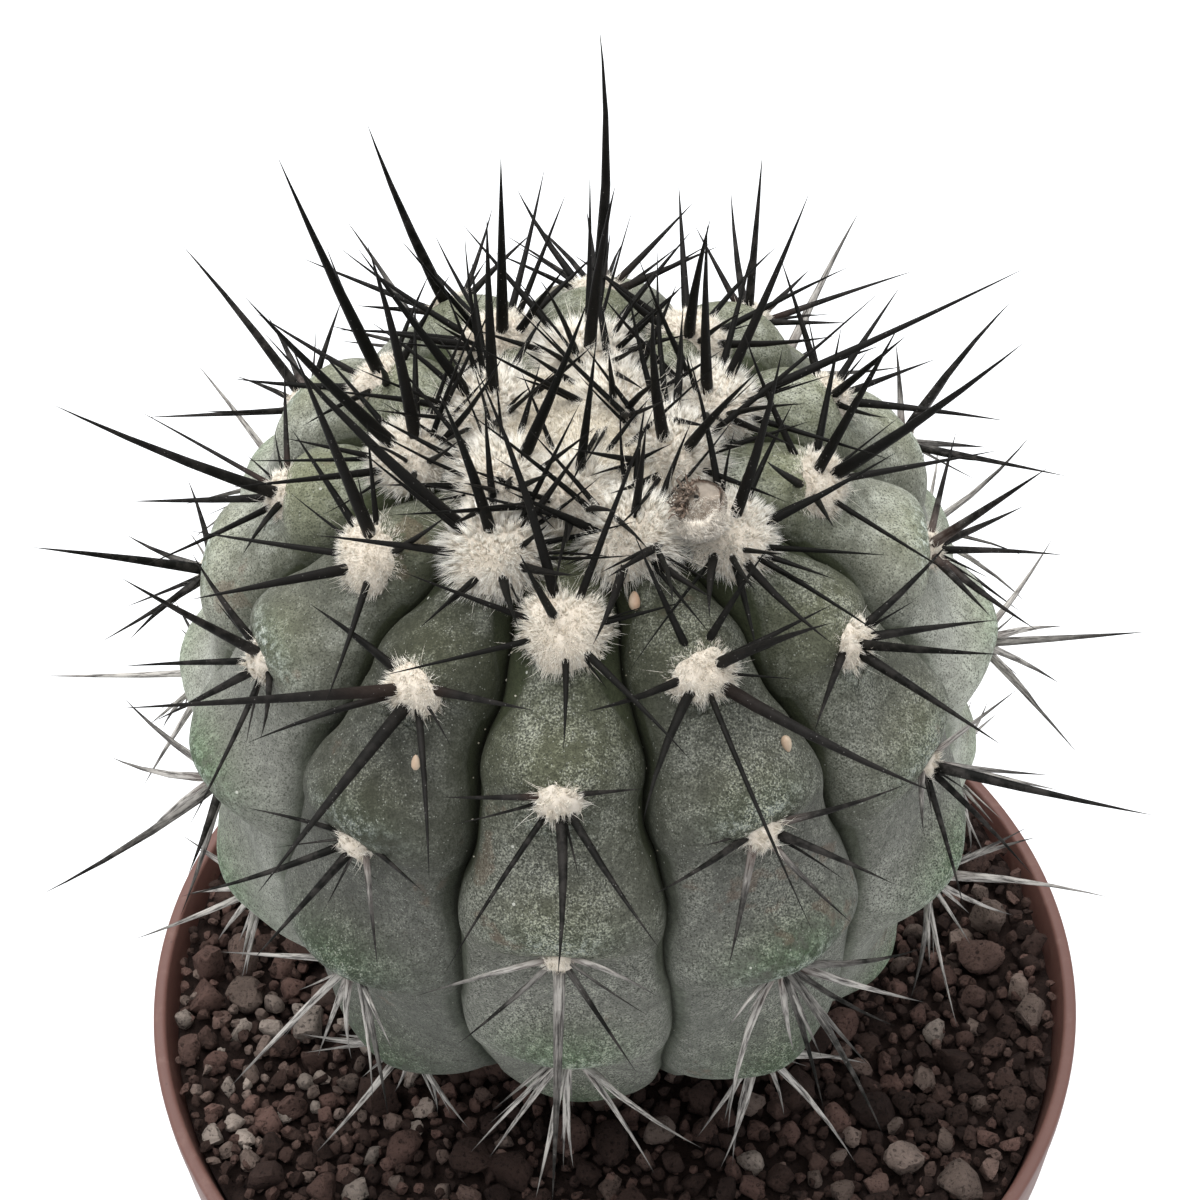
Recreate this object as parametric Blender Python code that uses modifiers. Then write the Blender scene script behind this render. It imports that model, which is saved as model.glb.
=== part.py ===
# A copiapoa cactus in its round plastic pot: pot, potting grit, stem, a dried seed pod and seeds.
# Metres, +Z up. The origin is the middle of the pot's flat underside, and -Y is the front.
import math
import random

import bmesh
import bpy
import numpy as np
from mathutils import Matrix, Vector
from mathutils.bvhtree import BVHTree

MM = 0.001
GAP = 0.3 * MM

# Pot
POT_RIM_RADIUS = 60 * MM
PLAIN_SIDES = 48
POT_HEIGHT = 100 * MM
POT_FOOT_RADIUS = 43 * MM
POT_WALL = 1.6 * MM
POT_FLOOR = 2.5 * MM
COLLAR_HEIGHT = 11 * MM
COLLAR_STEP = 1.4 * MM
DRAIN_HOLES = 8
DRAIN_RADIUS = 4 * MM
DRAIN_CIRCLE = 27 * MM

# Potting grit
GRIT_BELOW_RIM = 6.5 * MM
GRAIN_COUNT = 125
GRAIN_RADIUS = (3.0 * MM, 4.8 * MM)

# Stem: a squat ribbed body that leans to the front on a short tapered root neck
RIBS = 12
RIB_TURN = math.radians(-4.6)
STEM_RADIUS = 45.6 * MM
STEM_TOP = 92 * MM
CROWN_HEIGHT = 40.4 * MM
BELLY_HEIGHT = 56 * MM
CROWN_BLUNTNESS = 0.85
BELLY_BLUNTNESS = 0.78
LEAN_FRONT = math.radians(10.2)
LEAN_SIDE = math.radians(-0.6)
STEM_OFFSET = (-1.4 * MM, 11 * MM)
FURROW_DEPTH = 8 * MM
TUBERCLE_HEIGHT = 2.2 * MM
FURROW_SWAY = 0.16
NECK_RADIUS = 15 * MM
NECK_TIP_RADIUS = 9 * MM
NECK_DEPTH = 30 * MM

# Areoles run down each rib. Step n lies at the polar angle a + b*n + c*n*n from the crown.
AREOLE_SPACING = (0.25, 0.31, 0.036)
AREOLE_STAGGER = 5 / 12
AREOLE_FIRST = -0.55
AREOLE_RANGE = (-0.62, 4.2)
WOOL_LASTS = 2.7

# The spines of one areole, as clock angle from straight up, lean from the surface normal, and length
CENTRAL_SPINE = (0, 14, 20)
RADIAL_SPINES = (
    (-38, 50, 15),
    (36, 52, 14),
    (-82, 64, 13),
    (80, 62, 13),
    (-134, 60, 17),
    (132, 58, 17),
    (180, 56, 14),
)

# The longest spines and those of the front areoles, read off the plant by eye: (rib, step): spines
LEADING_SPINES = {
    (-5, 0): [(-10, 20, 25)],
    (-5, 1): [(20, 33, 26)],
    (-4, 0): [(-16, 10, 25), (155, 20, 22)],
    (-4, 1): [(15, 15, 30)],
    (-3, 0): [(-24, 12, 26), (180, 14, 25)],
    (-3, 1): [(100, 14, 28)],
    (-3, 2): [(50, 33, 22)],
    (-3, 3): [(-160, 10, 21)],
    (-2, 0): [(4, 28, 22)],
    (-2, 1): [(-33, 21, 26), (171, 42, 18), (118, 66, 18)],
    (-2, 2): [(-20, 18, 20), (-143, 57, 14)],
    (-2, 3): [(85, 22, 22)],
    (-1, 0): [(-44, 12, 22), (-85, 45, 28)],
    (-1, 1): [(-130, 30, 30), (170, 45, 26), (138, 70, 18), (-25, 40, 18)],
    (-1, 2): [(-168, 45, 14), (115, 50, 13)],
    (-1, 3): [(-150, 42, 18)],
    (-1, 4): [(150, 65, 10)],
    (0, -1): [(29, 14, 18)],
    (0, 0): [(-22, 32, 25), (25, 30, 22), (-112, 68, 16), (138, 62, 18), (176, 60, 12)],
    (0, 1): [(-86, 65, 10), (75, 60, 8), (-147, 58, 18), (175, 45, 17), (137, 52, 17)],
    (0, 2): [(178, 40, 22)],
    (1, 0): [(31, 9, 15)],
    (1, 1): [(97, 22, 18), (152, 46, 26), (-172, 66, 26), (-128, 60, 17), (-15, 45, 16)],
    (1, 2): [(125, 40, 13), (158, 50, 11), (-128, 55, 13)],
    (1, 3): [(172, 25, 18)],
    (1, 4): [(150, 45, 20)],
    (2, 0): [(46, 18, 22), (-145, 55, 17), (-125, 66, 14)],
    (2, 1): [(-170, 15, 18), (-160, 42, 18)],
    (2, 2): [(142, 20, 22)],
    (2, 3): [(60, 24, 18)],
    (3, 0): [(-16, 11, 22), (-143, 19, 18), (150, 50, 23)],
    (3, 1): [(20, 9, 22), (170, 16, 26), (160, 70, 18)],
    (3, 2): [(-20, 20, 18)],
    (3, 3): [(-38, 26, 18)],
    (4, 0): [(-3, 16, 25), (145, 25, 22), (-165, 55, 31)],
    (4, 1): [(6, 42, 21), (-55, 30, 15)],
    (5, 0): [(-20, 32, 22)],
    (6, 0): [(-28, 16, 25)],
    (6, 1): [(-5, 15, 30)],
}

SPINE_SIDES = 3
CENTRAL_THICKNESS = 0.9 * MM
RADIAL_THICKNESS = 0.62 * MM
SPINE_ROOT_DEPTH = 2.6 * MM

# Factors that scatter a spine by its rib, step and item, and the last one that takes a digit far down
WOBBLE = (12.9898, 78.233, 37.719, 43758.5453)

# Cream seeds that have come to lie on the ribs: rib position and angle from the crown
SEED_PLACES = ((0.63, 0.35), (1.28, 0.79), (-0.76, 0.76))
SEED_RADIUS = 0.8 * MM
SEED_LENGTH = 2.6 * MM

# Dried seed pod with its withered petals, caught in the wool between two ribs right of the crown
POD_PLACE = (1.62, 0.27)
POD_RADIUS = 2.7 * MM
POD_LENGTH = 6.4 * MM
POD_PETALS = 7
PETAL_LENGTH = 3.4 * MM
PETAL_THICKNESS = 0.6 * MM
POD_CLEARANCE = 5.2 * MM

COLOURS = {
    "terracotta plastic": ((0.23, 0.085, 0.055), 0.5),
    "lava grit": ((0.075, 0.042, 0.034), 0.95),
    "chalky green skin": ((0.17, 0.20, 0.15), 0.8),
    "cream wool": ((0.72, 0.63, 0.50), 1.0),
    "black spine": ((0.012, 0.011, 0.012), 0.55),
    "dry husk": ((0.42, 0.30, 0.22), 0.9),
    "cream husk": ((0.60, 0.47, 0.33), 0.7),
}

draw = random.Random(41)


def clear_scene():
    for obj in list(bpy.data.objects):
        bpy.data.objects.remove(obj, do_unlink=True)


def new_collection(name, hidden=False):
    collection = bpy.data.collections.new(name)
    collection.hide_render = hidden
    bpy.context.scene.collection.children.link(collection)
    return collection


def material(name):
    found = bpy.data.materials.get(name)
    if found:
        return found
    made = bpy.data.materials.new(name)
    made.use_nodes = True
    shader = made.node_tree.nodes["Principled BSDF"]
    colour, roughness = COLOURS[name]
    shader.inputs["Base Color"].default_value = (*colour, 1)
    shader.inputs["Roughness"].default_value = roughness
    shader.inputs["Metallic"].default_value = 0
    made.diffuse_color = (*colour, 1)
    return made


def object_of(bm, name, collection, colour):
    mesh = bpy.data.meshes.new(name)
    bm.to_mesh(mesh)
    bm.free()
    mesh.materials.append(material(colour))
    obj = bpy.data.objects.new(name, mesh)
    collection.objects.link(obj)
    return obj


def turned(name, profile, steps, collection, colour):
    """The profile, as (radius, height) points from the axis and back to it, turned round Z."""
    mesh = bpy.data.meshes.new(name)
    edges = [(i, i + 1) for i in range(len(profile) - 1)]
    mesh.from_pydata([(r, 0, z) for r, z in profile], edges, [])
    mesh.materials.append(material(colour))
    obj = bpy.data.objects.new(name, mesh)
    collection.objects.link(obj)
    screw = obj.modifiers.new("turn", "SCREW")
    screw.steps = screw.render_steps = steps
    screw.use_merge_vertices = True
    screw.merge_threshold = 0.01 * MM
    return obj


def apply_modifiers(obj):
    graph = bpy.context.evaluated_depsgraph_get()
    mesh = bpy.data.meshes.new_from_object(obj.evaluated_get(graph))
    obj.modifiers.clear()
    obj.data = mesh


def keep_largest_shell(obj):
    """Fills the hollows that a union seals and drops loose scraps: both are shells of their own."""
    bm = bmesh.new()
    bm.from_mesh(obj.data)
    waiting = set(bm.faces)
    shells = []
    while waiting:
        shell = [waiting.pop()]
        for face in shell:
            for edge in face.edges:
                for beside in edge.link_faces:
                    if beside in waiting:
                        waiting.remove(beside)
                        shell.append(beside)
        shells.append(shell)
    shells.sort(key=len)
    for shell in shells[:-1]:
        bmesh.ops.delete(bm, geom=shell, context="FACES")
    bm.to_mesh(obj.data)
    bm.free()


def join_all(base, pieces, solver="EXACT"):
    """One Boolean union of the base with every object of the collection, which is then emptied."""
    union = base.modifiers.new("join", "BOOLEAN")
    union.operation = "UNION"
    union.operand_type = "COLLECTION"
    union.collection = pieces
    union.solver = solver
    if solver == "EXACT":
        union.material_mode = "TRANSFER"
    apply_modifiers(base)
    keep_largest_shell(base)
    for obj in list(pieces.objects):
        bpy.data.objects.remove(obj, do_unlink=True)
    bpy.data.collections.remove(pieces)


def shade(obj, sharp_over):
    obj.data.shade_smooth()
    obj.data.set_sharp_from_angle(angle=math.radians(sharp_over))


def cut(obj, cutter):
    cutter.display_type = "WIRE"
    cutter.hide_render = True
    difference = obj.modifiers.new("cut " + cutter.name, "BOOLEAN")
    difference.operation = "DIFFERENCE"
    difference.object = cutter
    difference.solver = "EXACT"


# Pot

def pot_outer_radius(height):
    """The tapered wall under the collar."""
    wall_top = POT_RIM_RADIUS - COLLAR_STEP
    share = height / (POT_HEIGHT - COLLAR_HEIGHT)
    return POT_FOOT_RADIUS + (wall_top - POT_FOOT_RADIUS) * share


def pot_inner_radius(height):
    return min(pot_outer_radius(height), POT_RIM_RADIUS) - POT_WALL - COLLAR_STEP * 0.2


def make_pot(parts, cutters):
    collar_foot = POT_HEIGHT - COLLAR_HEIGHT
    lip = 0.5 * MM
    profile = [
        (0, POT_FLOOR),
        (pot_inner_radius(POT_FLOOR), POT_FLOOR),
        (pot_inner_radius(collar_foot), collar_foot),
        (POT_RIM_RADIUS - POT_WALL - lip, POT_HEIGHT - lip),
        (POT_RIM_RADIUS - POT_WALL, POT_HEIGHT),
        (POT_RIM_RADIUS - lip, POT_HEIGHT),
        (POT_RIM_RADIUS, POT_HEIGHT - lip),
        (POT_RIM_RADIUS - lip, collar_foot),
        (pot_outer_radius(collar_foot) - lip, collar_foot - lip),
        (POT_FOOT_RADIUS + lip, 2 * lip),
        (POT_FOOT_RADIUS - lip, 0),
        (0, 0),
    ]
    pot = turned("pot", profile, PLAIN_SIDES, parts, "terracotta plastic")
    bm = bmesh.new()
    for i in range(DRAIN_HOLES):
        turn = Matrix.Rotation(math.tau * (i + 0.5) / DRAIN_HOLES, 4, "Z")
        bmesh.ops.create_cone(
            bm,
            cap_ends=True,
            segments=16,
            radius1=DRAIN_RADIUS,
            radius2=DRAIN_RADIUS,
            depth=6 * POT_FLOOR,
            matrix=turn @ Matrix.Translation((DRAIN_CIRCLE, 0, 0)),
        )
    cut(pot, object_of(bm, "drain cutter", cutters, "terracotta plastic"))
    return pot


# Stem surface: angles in radians from the crown, places relative to the rim's middle until placed

def place(points):
    """Leans the stem about the rim's middle and moves it to where it stands in the pot."""
    x, y, z = points[..., 0], points[..., 1], points[..., 2]
    y, z = (
        y * np.cos(LEAN_FRONT) - z * np.sin(LEAN_FRONT),
        y * np.sin(LEAN_FRONT) + z * np.cos(LEAN_FRONT),
    )
    x, z = (
        x * np.cos(LEAN_SIDE) + z * np.sin(LEAN_SIDE),
        z * np.cos(LEAN_SIDE) - x * np.sin(LEAN_SIDE),
    )
    return np.stack([x + STEM_OFFSET[0], y + STEM_OFFSET[1], z + POT_HEIGHT], -1)


def outline(angle):
    """Radius and height of the smooth body that the ribs stand on: two blunt half ellipses."""
    rise = np.cos(angle)
    blunt = np.where(rise > 0, CROWN_BLUNTNESS, BELLY_BLUNTNESS)
    radius = STEM_RADIUS * np.abs(np.sin(angle)) ** blunt
    half = np.where(rise > 0, CROWN_HEIGHT, BELLY_HEIGHT)
    return radius, STEM_TOP - CROWN_HEIGHT + half * rise


def outline_normal(angle):
    small = 1e-3
    r0, z0 = outline(angle - small)
    r1, z1 = outline(angle + small)
    length = np.hypot(r1 - r0, z1 - z0) + 1e-12
    return -(z1 - z0) / length, (r1 - r0) / length


def angle_of_step(step):
    a, b, c = AREOLE_SPACING
    return a + b * step + c * step * step


def step_of_angle(angle):
    a, b, c = AREOLE_SPACING
    return (np.sqrt(np.maximum(b * b - 4 * c * (a - angle), 0)) - b) / (2 * c)


def stagger(rib):
    """How far a rib's areoles lie below those of the front rib, in steps."""
    phase = np.mod(AREOLE_STAGGER * rib + AREOLE_FIRST, 1.0)
    return np.where(phase > 0.6, phase - 1, phase)


def swelling(rib, angle):
    """0 in the notch below an areole, 1 on the nose of the tubercle just above the next one."""
    along = np.mod(step_of_angle(angle) - stagger(rib) - 0.12, 1.0)
    return 0.5 - 0.5 * np.cos(math.tau * along**2.5)


def ribbed(angle, around):
    """A point of the ribbed body. around counts ribs from the front one, furrows at the halves."""
    rib = np.round(around)
    side = around - rib
    nearer = rib + np.where(side < 0, -1, 1)
    sway = FURROW_SWAY * (swelling(rib, angle) - swelling(nearer, angle))
    across = 2 * np.abs(side)
    turn = RIB_TURN + (rib + side * (1 + sway)) * math.tau / RIBS
    radius, height = outline(angle)
    out, up = outline_normal(angle)
    fade = np.interp(angle, [0, 0.5, 1.6, 2.4, math.pi], [0.9, 1, 1, 0.6, 0.3])
    depth = FURROW_DEPTH * np.sin(np.clip(angle, 0, math.pi)) ** 0.8 * fade
    round_off = 1 - np.sqrt(np.maximum(1 - across**2.2, 0))
    swell = TUBERCLE_HEIGHT * (swelling(rib, angle) - 0.5) * (1 - across**2)
    offset = swell * np.clip(angle / 0.5, 0.2, 1) - depth * round_off
    radius = np.maximum(radius + out * offset, 0)
    height = height + up * offset
    return place(np.stack([radius * np.sin(turn), -radius * np.cos(turn), height], -1))


def surface_frame(angle, rib):
    """Place on a rib's crest, with the directions outward, up the rib, and to the right."""
    small = 1e-3
    turn = RIB_TURN + rib * math.tau / RIBS

    def smooth(a, t):
        radius, height = outline(np.array(a))
        return place(np.array([radius * math.sin(t), -radius * math.cos(t), height]))

    here = Vector(ribbed(np.array(angle), np.array(float(rib))))
    up = Vector(smooth(angle - small, turn) - smooth(angle + small, turn)).normalized()
    right = Vector(smooth(angle, turn + small) - smooth(angle, turn - small)).normalized()
    return here, right.cross(up).normalized(), up, right


def make_body(collection):
    """A UV sphere whose points are carried onto the ribbed surface, denser near the crown."""
    bm = bmesh.new()
    bmesh.ops.create_uvsphere(bm, u_segments=6 * RIBS, v_segments=26, radius=1)
    for vert in bm.verts:
        angle = math.acos(max(-1, min(1, vert.co.z)))
        angle = math.pi * (angle / math.pi) ** 1.15
        around = math.atan2(vert.co.x, -vert.co.y) / math.tau * RIBS
        vert.co = ribbed(np.array(angle), np.array(around))
    bmesh.ops.recalc_face_normals(bm, faces=bm.faces)
    return object_of(bm, "stem", collection, "chalky green skin")


def neck_axis():
    foot = Vector(place(np.array([0, 0, STEM_TOP - CROWN_HEIGHT - BELLY_HEIGHT])))
    down = Vector(place(np.array([0, 0, -1.0]))) - Vector(place(np.array([0, 0, 0.0])))
    return foot, down.normalized()


def neck_cone(bm, widen, lengthen):
    """The tapered root neck, or the hole for it where it is widened and lengthened."""
    foot, down = neck_axis()
    top = foot - down * 14 * MM
    length = NECK_DEPTH + lengthen
    turn = down.to_track_quat("Z", "Y").to_matrix().to_4x4()
    bmesh.ops.create_cone(
        bm,
        cap_ends=True,
        segments=24,
        radius1=NECK_RADIUS + widen,
        radius2=NECK_TIP_RADIUS + widen,
        depth=length,
        matrix=Matrix.Translation(top + down * length / 2) @ turn,
    )


def wool_pad(collection, here, out, up, right, radius):
    """A low tuft of felt: a small faceted ball pressed flat on the crest."""
    bm = bmesh.new()
    bmesh.ops.create_icosphere(bm, subdivisions=1, radius=1)
    frame = Matrix((right, up, out)).transposed().to_4x4()
    size = Matrix.Diagonal((radius, radius * 0.9, radius * 0.42, 1))
    spin = Matrix.Rotation(draw.uniform(0, math.tau), 4, "Z")
    bmesh.ops.transform(
        bm, matrix=Matrix.Translation(here) @ frame @ spin @ size, verts=bm.verts
    )
    object_of(bm, "wool", collection, "cream wool")


def needle(collection, root, tip, thickness):
    """One three-sided spine, from a root sunk in the body to its tip."""
    bm = bmesh.new()
    along = tip - root
    bmesh.ops.create_cone(
        bm,
        cap_ends=True,
        segments=SPINE_SIDES,
        radius1=thickness,
        radius2=0,
        depth=along.length,
        matrix=Matrix.Translation(root + along / 2)
        @ along.to_track_quat("Z", "Y").to_matrix().to_4x4(),
    )
    object_of(bm, "spine", collection, "black spine")


def distance_to_segment(point, start, end):
    along = end - start
    share = max(0, min(1, (point - start).dot(along) / along.length_squared))
    return (point - start - along * share).length


def direction(out, up, right, clock, lean):
    flat = up * math.cos(clock) + right * math.sin(clock)
    return (out * math.cos(lean) + flat * math.sin(lean)).normalized()


def wobble(rib, step, item, low, high):
    """A value from low to high that is scattered but always the same for one item of one areole."""
    a, b, c, d = WOBBLE
    return low + (high - low) * (math.sin(a * rib + b * step + c * item) * d % 1)


def spines_at(rib, step):
    """Clock angle, lean, length and thickness of each spine of one areole."""
    leading = LEADING_SPINES.get((rib, step), [])
    young = np.interp(step + float(stagger(rib)), [-0.6, 0.3, 2.2, 4], [0.62, 1, 0.95, 0.7])
    chosen = [(c, l, m, CENTRAL_THICKNESS if l < 50 else RADIAL_THICKNESS) for c, l, m in leading]
    if not any(lean < 40 for _, lean, _ in leading):
        clock, lean, length = CENTRAL_SPINE
        clock += wobble(rib, step, 0, -70, 70)
        lean += wobble(rib, step, 1, -8, 12)
        length *= young * wobble(rib, step, 2, 0.85, 1.12)
        chosen.append((clock, lean, length, CENTRAL_THICKNESS))
    radials = RADIAL_SPINES if young > 0.85 else RADIAL_SPINES[::2]
    for i, (clock, lean, length) in enumerate(radials, 1):
        clock += wobble(rib, step, 3 * i, -10, 10)
        lean += wobble(rib, step, 3 * i + 1, -9, 7)
        length *= young * wobble(rib, step, 3 * i + 2, 0.75, 1.15)
        near = [c for c, l, _ in leading if l >= 40 and abs((clock - c + 180) % 360 - 180) < 32]
        if not near:
            chosen.append((clock, lean, length, RADIAL_THICKNESS))
    return chosen


def pod_seat():
    """Where the pod's middle starts from before it is lowered, with the body's directions there."""
    rib, angle = POD_PLACE
    here, out, up, right = surface_frame(angle, rib)
    return here + out * 7 * MM, out, up, right


def keep_clear(root, aim, length):
    """Turns a spine up until its tip passes over the grit and the rim."""
    tip = root + aim * length
    for _ in range(40):
        reach = math.hypot(tip.x, tip.y)
        floor = POT_HEIGHT + (3 * MM if reach > 0.86 * POT_RIM_RADIUS else -2 * MM)
        if tip.z > floor:
            return tip
        aim = (aim + Vector((0, 0, 0.08))).normalized()
        tip = root + aim * length
    return None


def areoles():
    low, high = AREOLE_RANGE
    for rib in range(-5, 7):
        for step in range(-1, 5):
            if low < step + float(stagger(rib)) < high:
                yield rib, step


def make_stem(parts):
    stem = make_body(parts)
    pieces = new_collection("stem repeats")
    bm = bmesh.new()
    neck_cone(bm, 0, 0)
    object_of(bm, "neck", pieces, "chalky green skin")
    pod_start, pod_out, _, _ = pod_seat()
    pod_middle = pod_start - pod_out * 2.5 * MM
    for rib, step in areoles():
        along = step + float(stagger(rib))
        here, out, up, right = surface_frame(angle_of_step(along), rib)
        wool = np.interp(along, [-0.6, 0.4, 1.3, 2.2, 3.2], [4.4, 4.3, 3.1, 2.4, 1.3]) * MM
        if along < WOOL_LASTS:
            wool_pad(pieces, here, out, up, right, wool)
        for clock, lean, length, thickness in spines_at(rib, step):
            ring = wool * 0.45 * min(1, lean / 50)
            foot = direction(out, up, right, math.radians(clock), math.pi / 2) * ring
            for turn in (0, 25, -25, 50, -50, 75, -75, 110, -110):
                aim = direction(out, up, right, math.radians(clock + turn), math.radians(lean))
                tip = keep_clear(here + foot, aim, length * MM)
                if tip is None:
                    continue
                root = here + foot - out * SPINE_ROOT_DEPTH
                if distance_to_segment(pod_middle, root, tip) > POD_CLEARANCE:
                    needle(pieces, root, tip, thickness)
                    break
    bm = bmesh.new()
    bmesh.ops.create_icosphere(bm, subdivisions=2, radius=1)
    crown = Vector(place(np.array([0, 0, STEM_TOP - 0.6 * MM])))
    bmesh.ops.transform(
        bm,
        matrix=Matrix.Translation(crown) @ Matrix.Diagonal((11 * MM, 11 * MM, 2.6 * MM, 1)),
        verts=bm.verts,
    )
    object_of(bm, "crown felt", pieces, "cream wool")
    join_all(stem, pieces)
    return stem


# Potting grit

def underside_height(x, y, reach, body_points):
    """Lowest point of the stem above a grain, or None where the sky is open."""
    near = np.hypot(body_points[:, 0] - x, body_points[:, 1] - y) < reach
    return body_points[near, 2].min() if near.any() else None


def make_grit(parts, cutters):
    top = POT_HEIGHT - GRIT_BELOW_RIM
    foot = POT_FLOOR + GAP
    shoulder = POT_HEIGHT - COLLAR_HEIGHT
    profile = [
        (0, top),
        (pot_inner_radius(shoulder) - GAP, top),
        (pot_inner_radius(shoulder) - GAP, shoulder),
        (pot_inner_radius(foot) - GAP, foot),
        (0, foot),
    ]
    grit = turned("potting_grit", profile, PLAIN_SIDES, parts, "lava grit")
    angles, ribs = np.meshgrid(np.linspace(1.5, math.pi, 60), np.linspace(-6, 6, 145))
    body = ribbed(angles, ribs).reshape(-1, 3)
    grains = new_collection("grains")
    edge = pot_inner_radius(shoulder) - 2 * GAP
    golden = math.pi * (3 - math.sqrt(5))
    foot_point, _ = neck_axis()
    for i in range(GRAIN_COUNT):
        size = draw.uniform(*GRAIN_RADIUS)
        reach = (edge - size) * math.sqrt((i + 0.5) / GRAIN_COUNT)
        x = reach * math.cos(i * golden) + draw.uniform(-1, 1) * 0.6 * MM
        y = reach * math.sin(i * golden) + draw.uniform(-1, 1) * 0.6 * MM
        turn = Matrix.Rotation(draw.uniform(0, math.tau), 4, Vector((draw.random(), draw.random(), 1)))
        squash = Matrix.Diagonal((size, size * draw.uniform(0.75, 1), size * draw.uniform(0.6, 0.8), 1))
        height = top + size * draw.uniform(0, 0.4)
        under = underside_height(x, y, size + 1.5 * MM, body)
        if under is not None:
            height = min(height, under - size - 0.8 * MM)
        if math.hypot(x - foot_point.x, y - foot_point.y) < NECK_RADIUS + size + 1 * MM:
            continue
        if height + 0.6 * size < top:
            continue
        bm = bmesh.new()
        bmesh.ops.create_icosphere(bm, subdivisions=1, radius=1)
        bmesh.ops.transform(
            bm, matrix=Matrix.Translation((x, y, height)) @ turn @ squash, verts=bm.verts
        )
        object_of(bm, "grain", grains, "lava grit")
    join_all(grit, grains)
    bm = bmesh.new()
    neck_cone(bm, GAP, GAP)
    cut(grit, object_of(bm, "neck cutter", cutters, "lava grit"))
    return grit


# Dried seed pod

def lower_onto(obj, base, direction):
    """Moves the object along the direction until the usual gap is left to the base."""
    ground = BVHTree.FromObject(base, bpy.context.evaluated_depsgraph_get())
    for _ in range(30):
        nearest = min(ground.find_nearest(v.co)[3] for v in obj.data.vertices)
        if nearest < 1.2 * GAP:
            break
        obj.data.transform(Matrix.Translation(direction * (nearest - GAP) * 0.8))


def make_pod(parts, stem):
    """An egg-shaped papery pod lying on its side, with shrivelled petals round its upper end."""
    middle, out, up, right = pod_seat()
    tail = (up * 0.8 - right * 0.6 + out * 0.35).normalized()
    turn = tail.to_track_quat("Z", "Y").to_matrix().to_4x4()
    bm = bmesh.new()
    bmesh.ops.create_icosphere(bm, subdivisions=2, radius=1)
    size = Matrix.Diagonal((POD_RADIUS, POD_RADIUS, POD_LENGTH / 2, 1))
    bmesh.ops.transform(bm, matrix=Matrix.Translation(middle) @ turn @ size, verts=bm.verts)
    pod = object_of(bm, "dried_pod", parts, "dry husk")
    petals = new_collection("petals")
    for i in range(POD_PETALS):
        bm = bmesh.new()
        bmesh.ops.create_cube(bm, size=1)
        wide = PETAL_LENGTH * draw.uniform(0.3, 0.45)
        long = PETAL_LENGTH * draw.uniform(0.7, 1.1)
        for vert in bm.verts:
            height = vert.co.z + 0.5
            vert.co.x *= wide * (1 - 0.5 * height)
            vert.co.y *= PETAL_THICKNESS
            vert.co.z = height * long
        tilt = Matrix.Rotation(math.radians(draw.uniform(5, 55)), 4, "X")
        spin = Matrix.Rotation(math.tau * i / POD_PETALS + draw.uniform(-0.2, 0.2), 4, "Z")
        end = Matrix.Translation((0, 0, POD_LENGTH * 0.42))
        place_petal = Matrix.Translation(middle) @ turn @ end @ spin @ tilt
        bmesh.ops.transform(bm, matrix=place_petal, verts=bm.verts)
        object_of(bm, "petal", petals, "dry husk")
    join_all(pod, petals)
    lower_onto(pod, stem, -out)
    return pod


# Seeds

def make_seed(parts, stem, number, rib, angle):
    """An egg-shaped seed lying on the skin, its long axis down the rib."""
    here, out, up, right = surface_frame(angle, rib)
    frame = Matrix((right, up, out)).transposed().to_4x4()
    size = Matrix.Diagonal((SEED_RADIUS, SEED_LENGTH / 2, SEED_RADIUS, 1))
    tilt = Matrix.Rotation(draw.uniform(-0.5, 0.5), 4, "Z")
    bm = bmesh.new()
    bmesh.ops.create_icosphere(bm, subdivisions=1, radius=1)
    start = Matrix.Translation(here + out * 3 * SEED_RADIUS)
    bmesh.ops.transform(bm, matrix=start @ frame @ tilt @ size, verts=bm.verts)
    seed = object_of(bm, "seed_" + str(number), parts, "cream husk")
    lower_onto(seed, stem, -out)


def main():
    clear_scene()
    parts = new_collection("copiapoa in pot")
    cutters = new_collection("cutters", hidden=True)
    make_pot(parts, cutters)
    make_grit(parts, cutters)
    stem = make_stem(parts)
    shade(stem, 60)
    make_pod(parts, stem)
    for number, (rib, angle) in enumerate(SEED_PLACES, 1):
        make_seed(parts, stem, number, rib, angle)


main()
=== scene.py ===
# Looks of a copiapoa cactus in its round plastic pot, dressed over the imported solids.
# Shapes are worked out in millimetres in the solids' own frame: +Z up, -Y the front, 0 under the pot.
import math

import bpy
import numpy as np
from mathutils import Matrix, Vector


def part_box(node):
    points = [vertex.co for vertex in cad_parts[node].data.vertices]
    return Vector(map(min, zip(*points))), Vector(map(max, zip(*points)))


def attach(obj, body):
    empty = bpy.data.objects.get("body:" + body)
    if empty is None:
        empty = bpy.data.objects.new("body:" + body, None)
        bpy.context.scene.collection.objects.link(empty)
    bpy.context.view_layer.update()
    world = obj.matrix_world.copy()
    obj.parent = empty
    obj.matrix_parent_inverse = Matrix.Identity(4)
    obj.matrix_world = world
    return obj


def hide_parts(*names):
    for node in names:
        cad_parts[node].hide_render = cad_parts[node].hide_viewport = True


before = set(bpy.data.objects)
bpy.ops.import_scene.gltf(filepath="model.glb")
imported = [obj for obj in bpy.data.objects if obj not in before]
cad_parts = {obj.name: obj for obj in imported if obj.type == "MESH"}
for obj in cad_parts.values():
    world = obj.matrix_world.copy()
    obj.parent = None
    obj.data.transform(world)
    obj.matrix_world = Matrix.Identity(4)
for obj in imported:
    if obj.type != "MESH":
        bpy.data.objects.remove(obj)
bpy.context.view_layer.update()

mm = 0.001
turn = 2 * math.pi

# Small helpers for arrays and meshes


def smooth(low, high, x):
    # 0 below low, 1 above high, and an S-shaped rise between them
    share = np.clip((x - low) / (high - low), 0, 1)
    return share * share * (3 - 2 * share)


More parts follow.
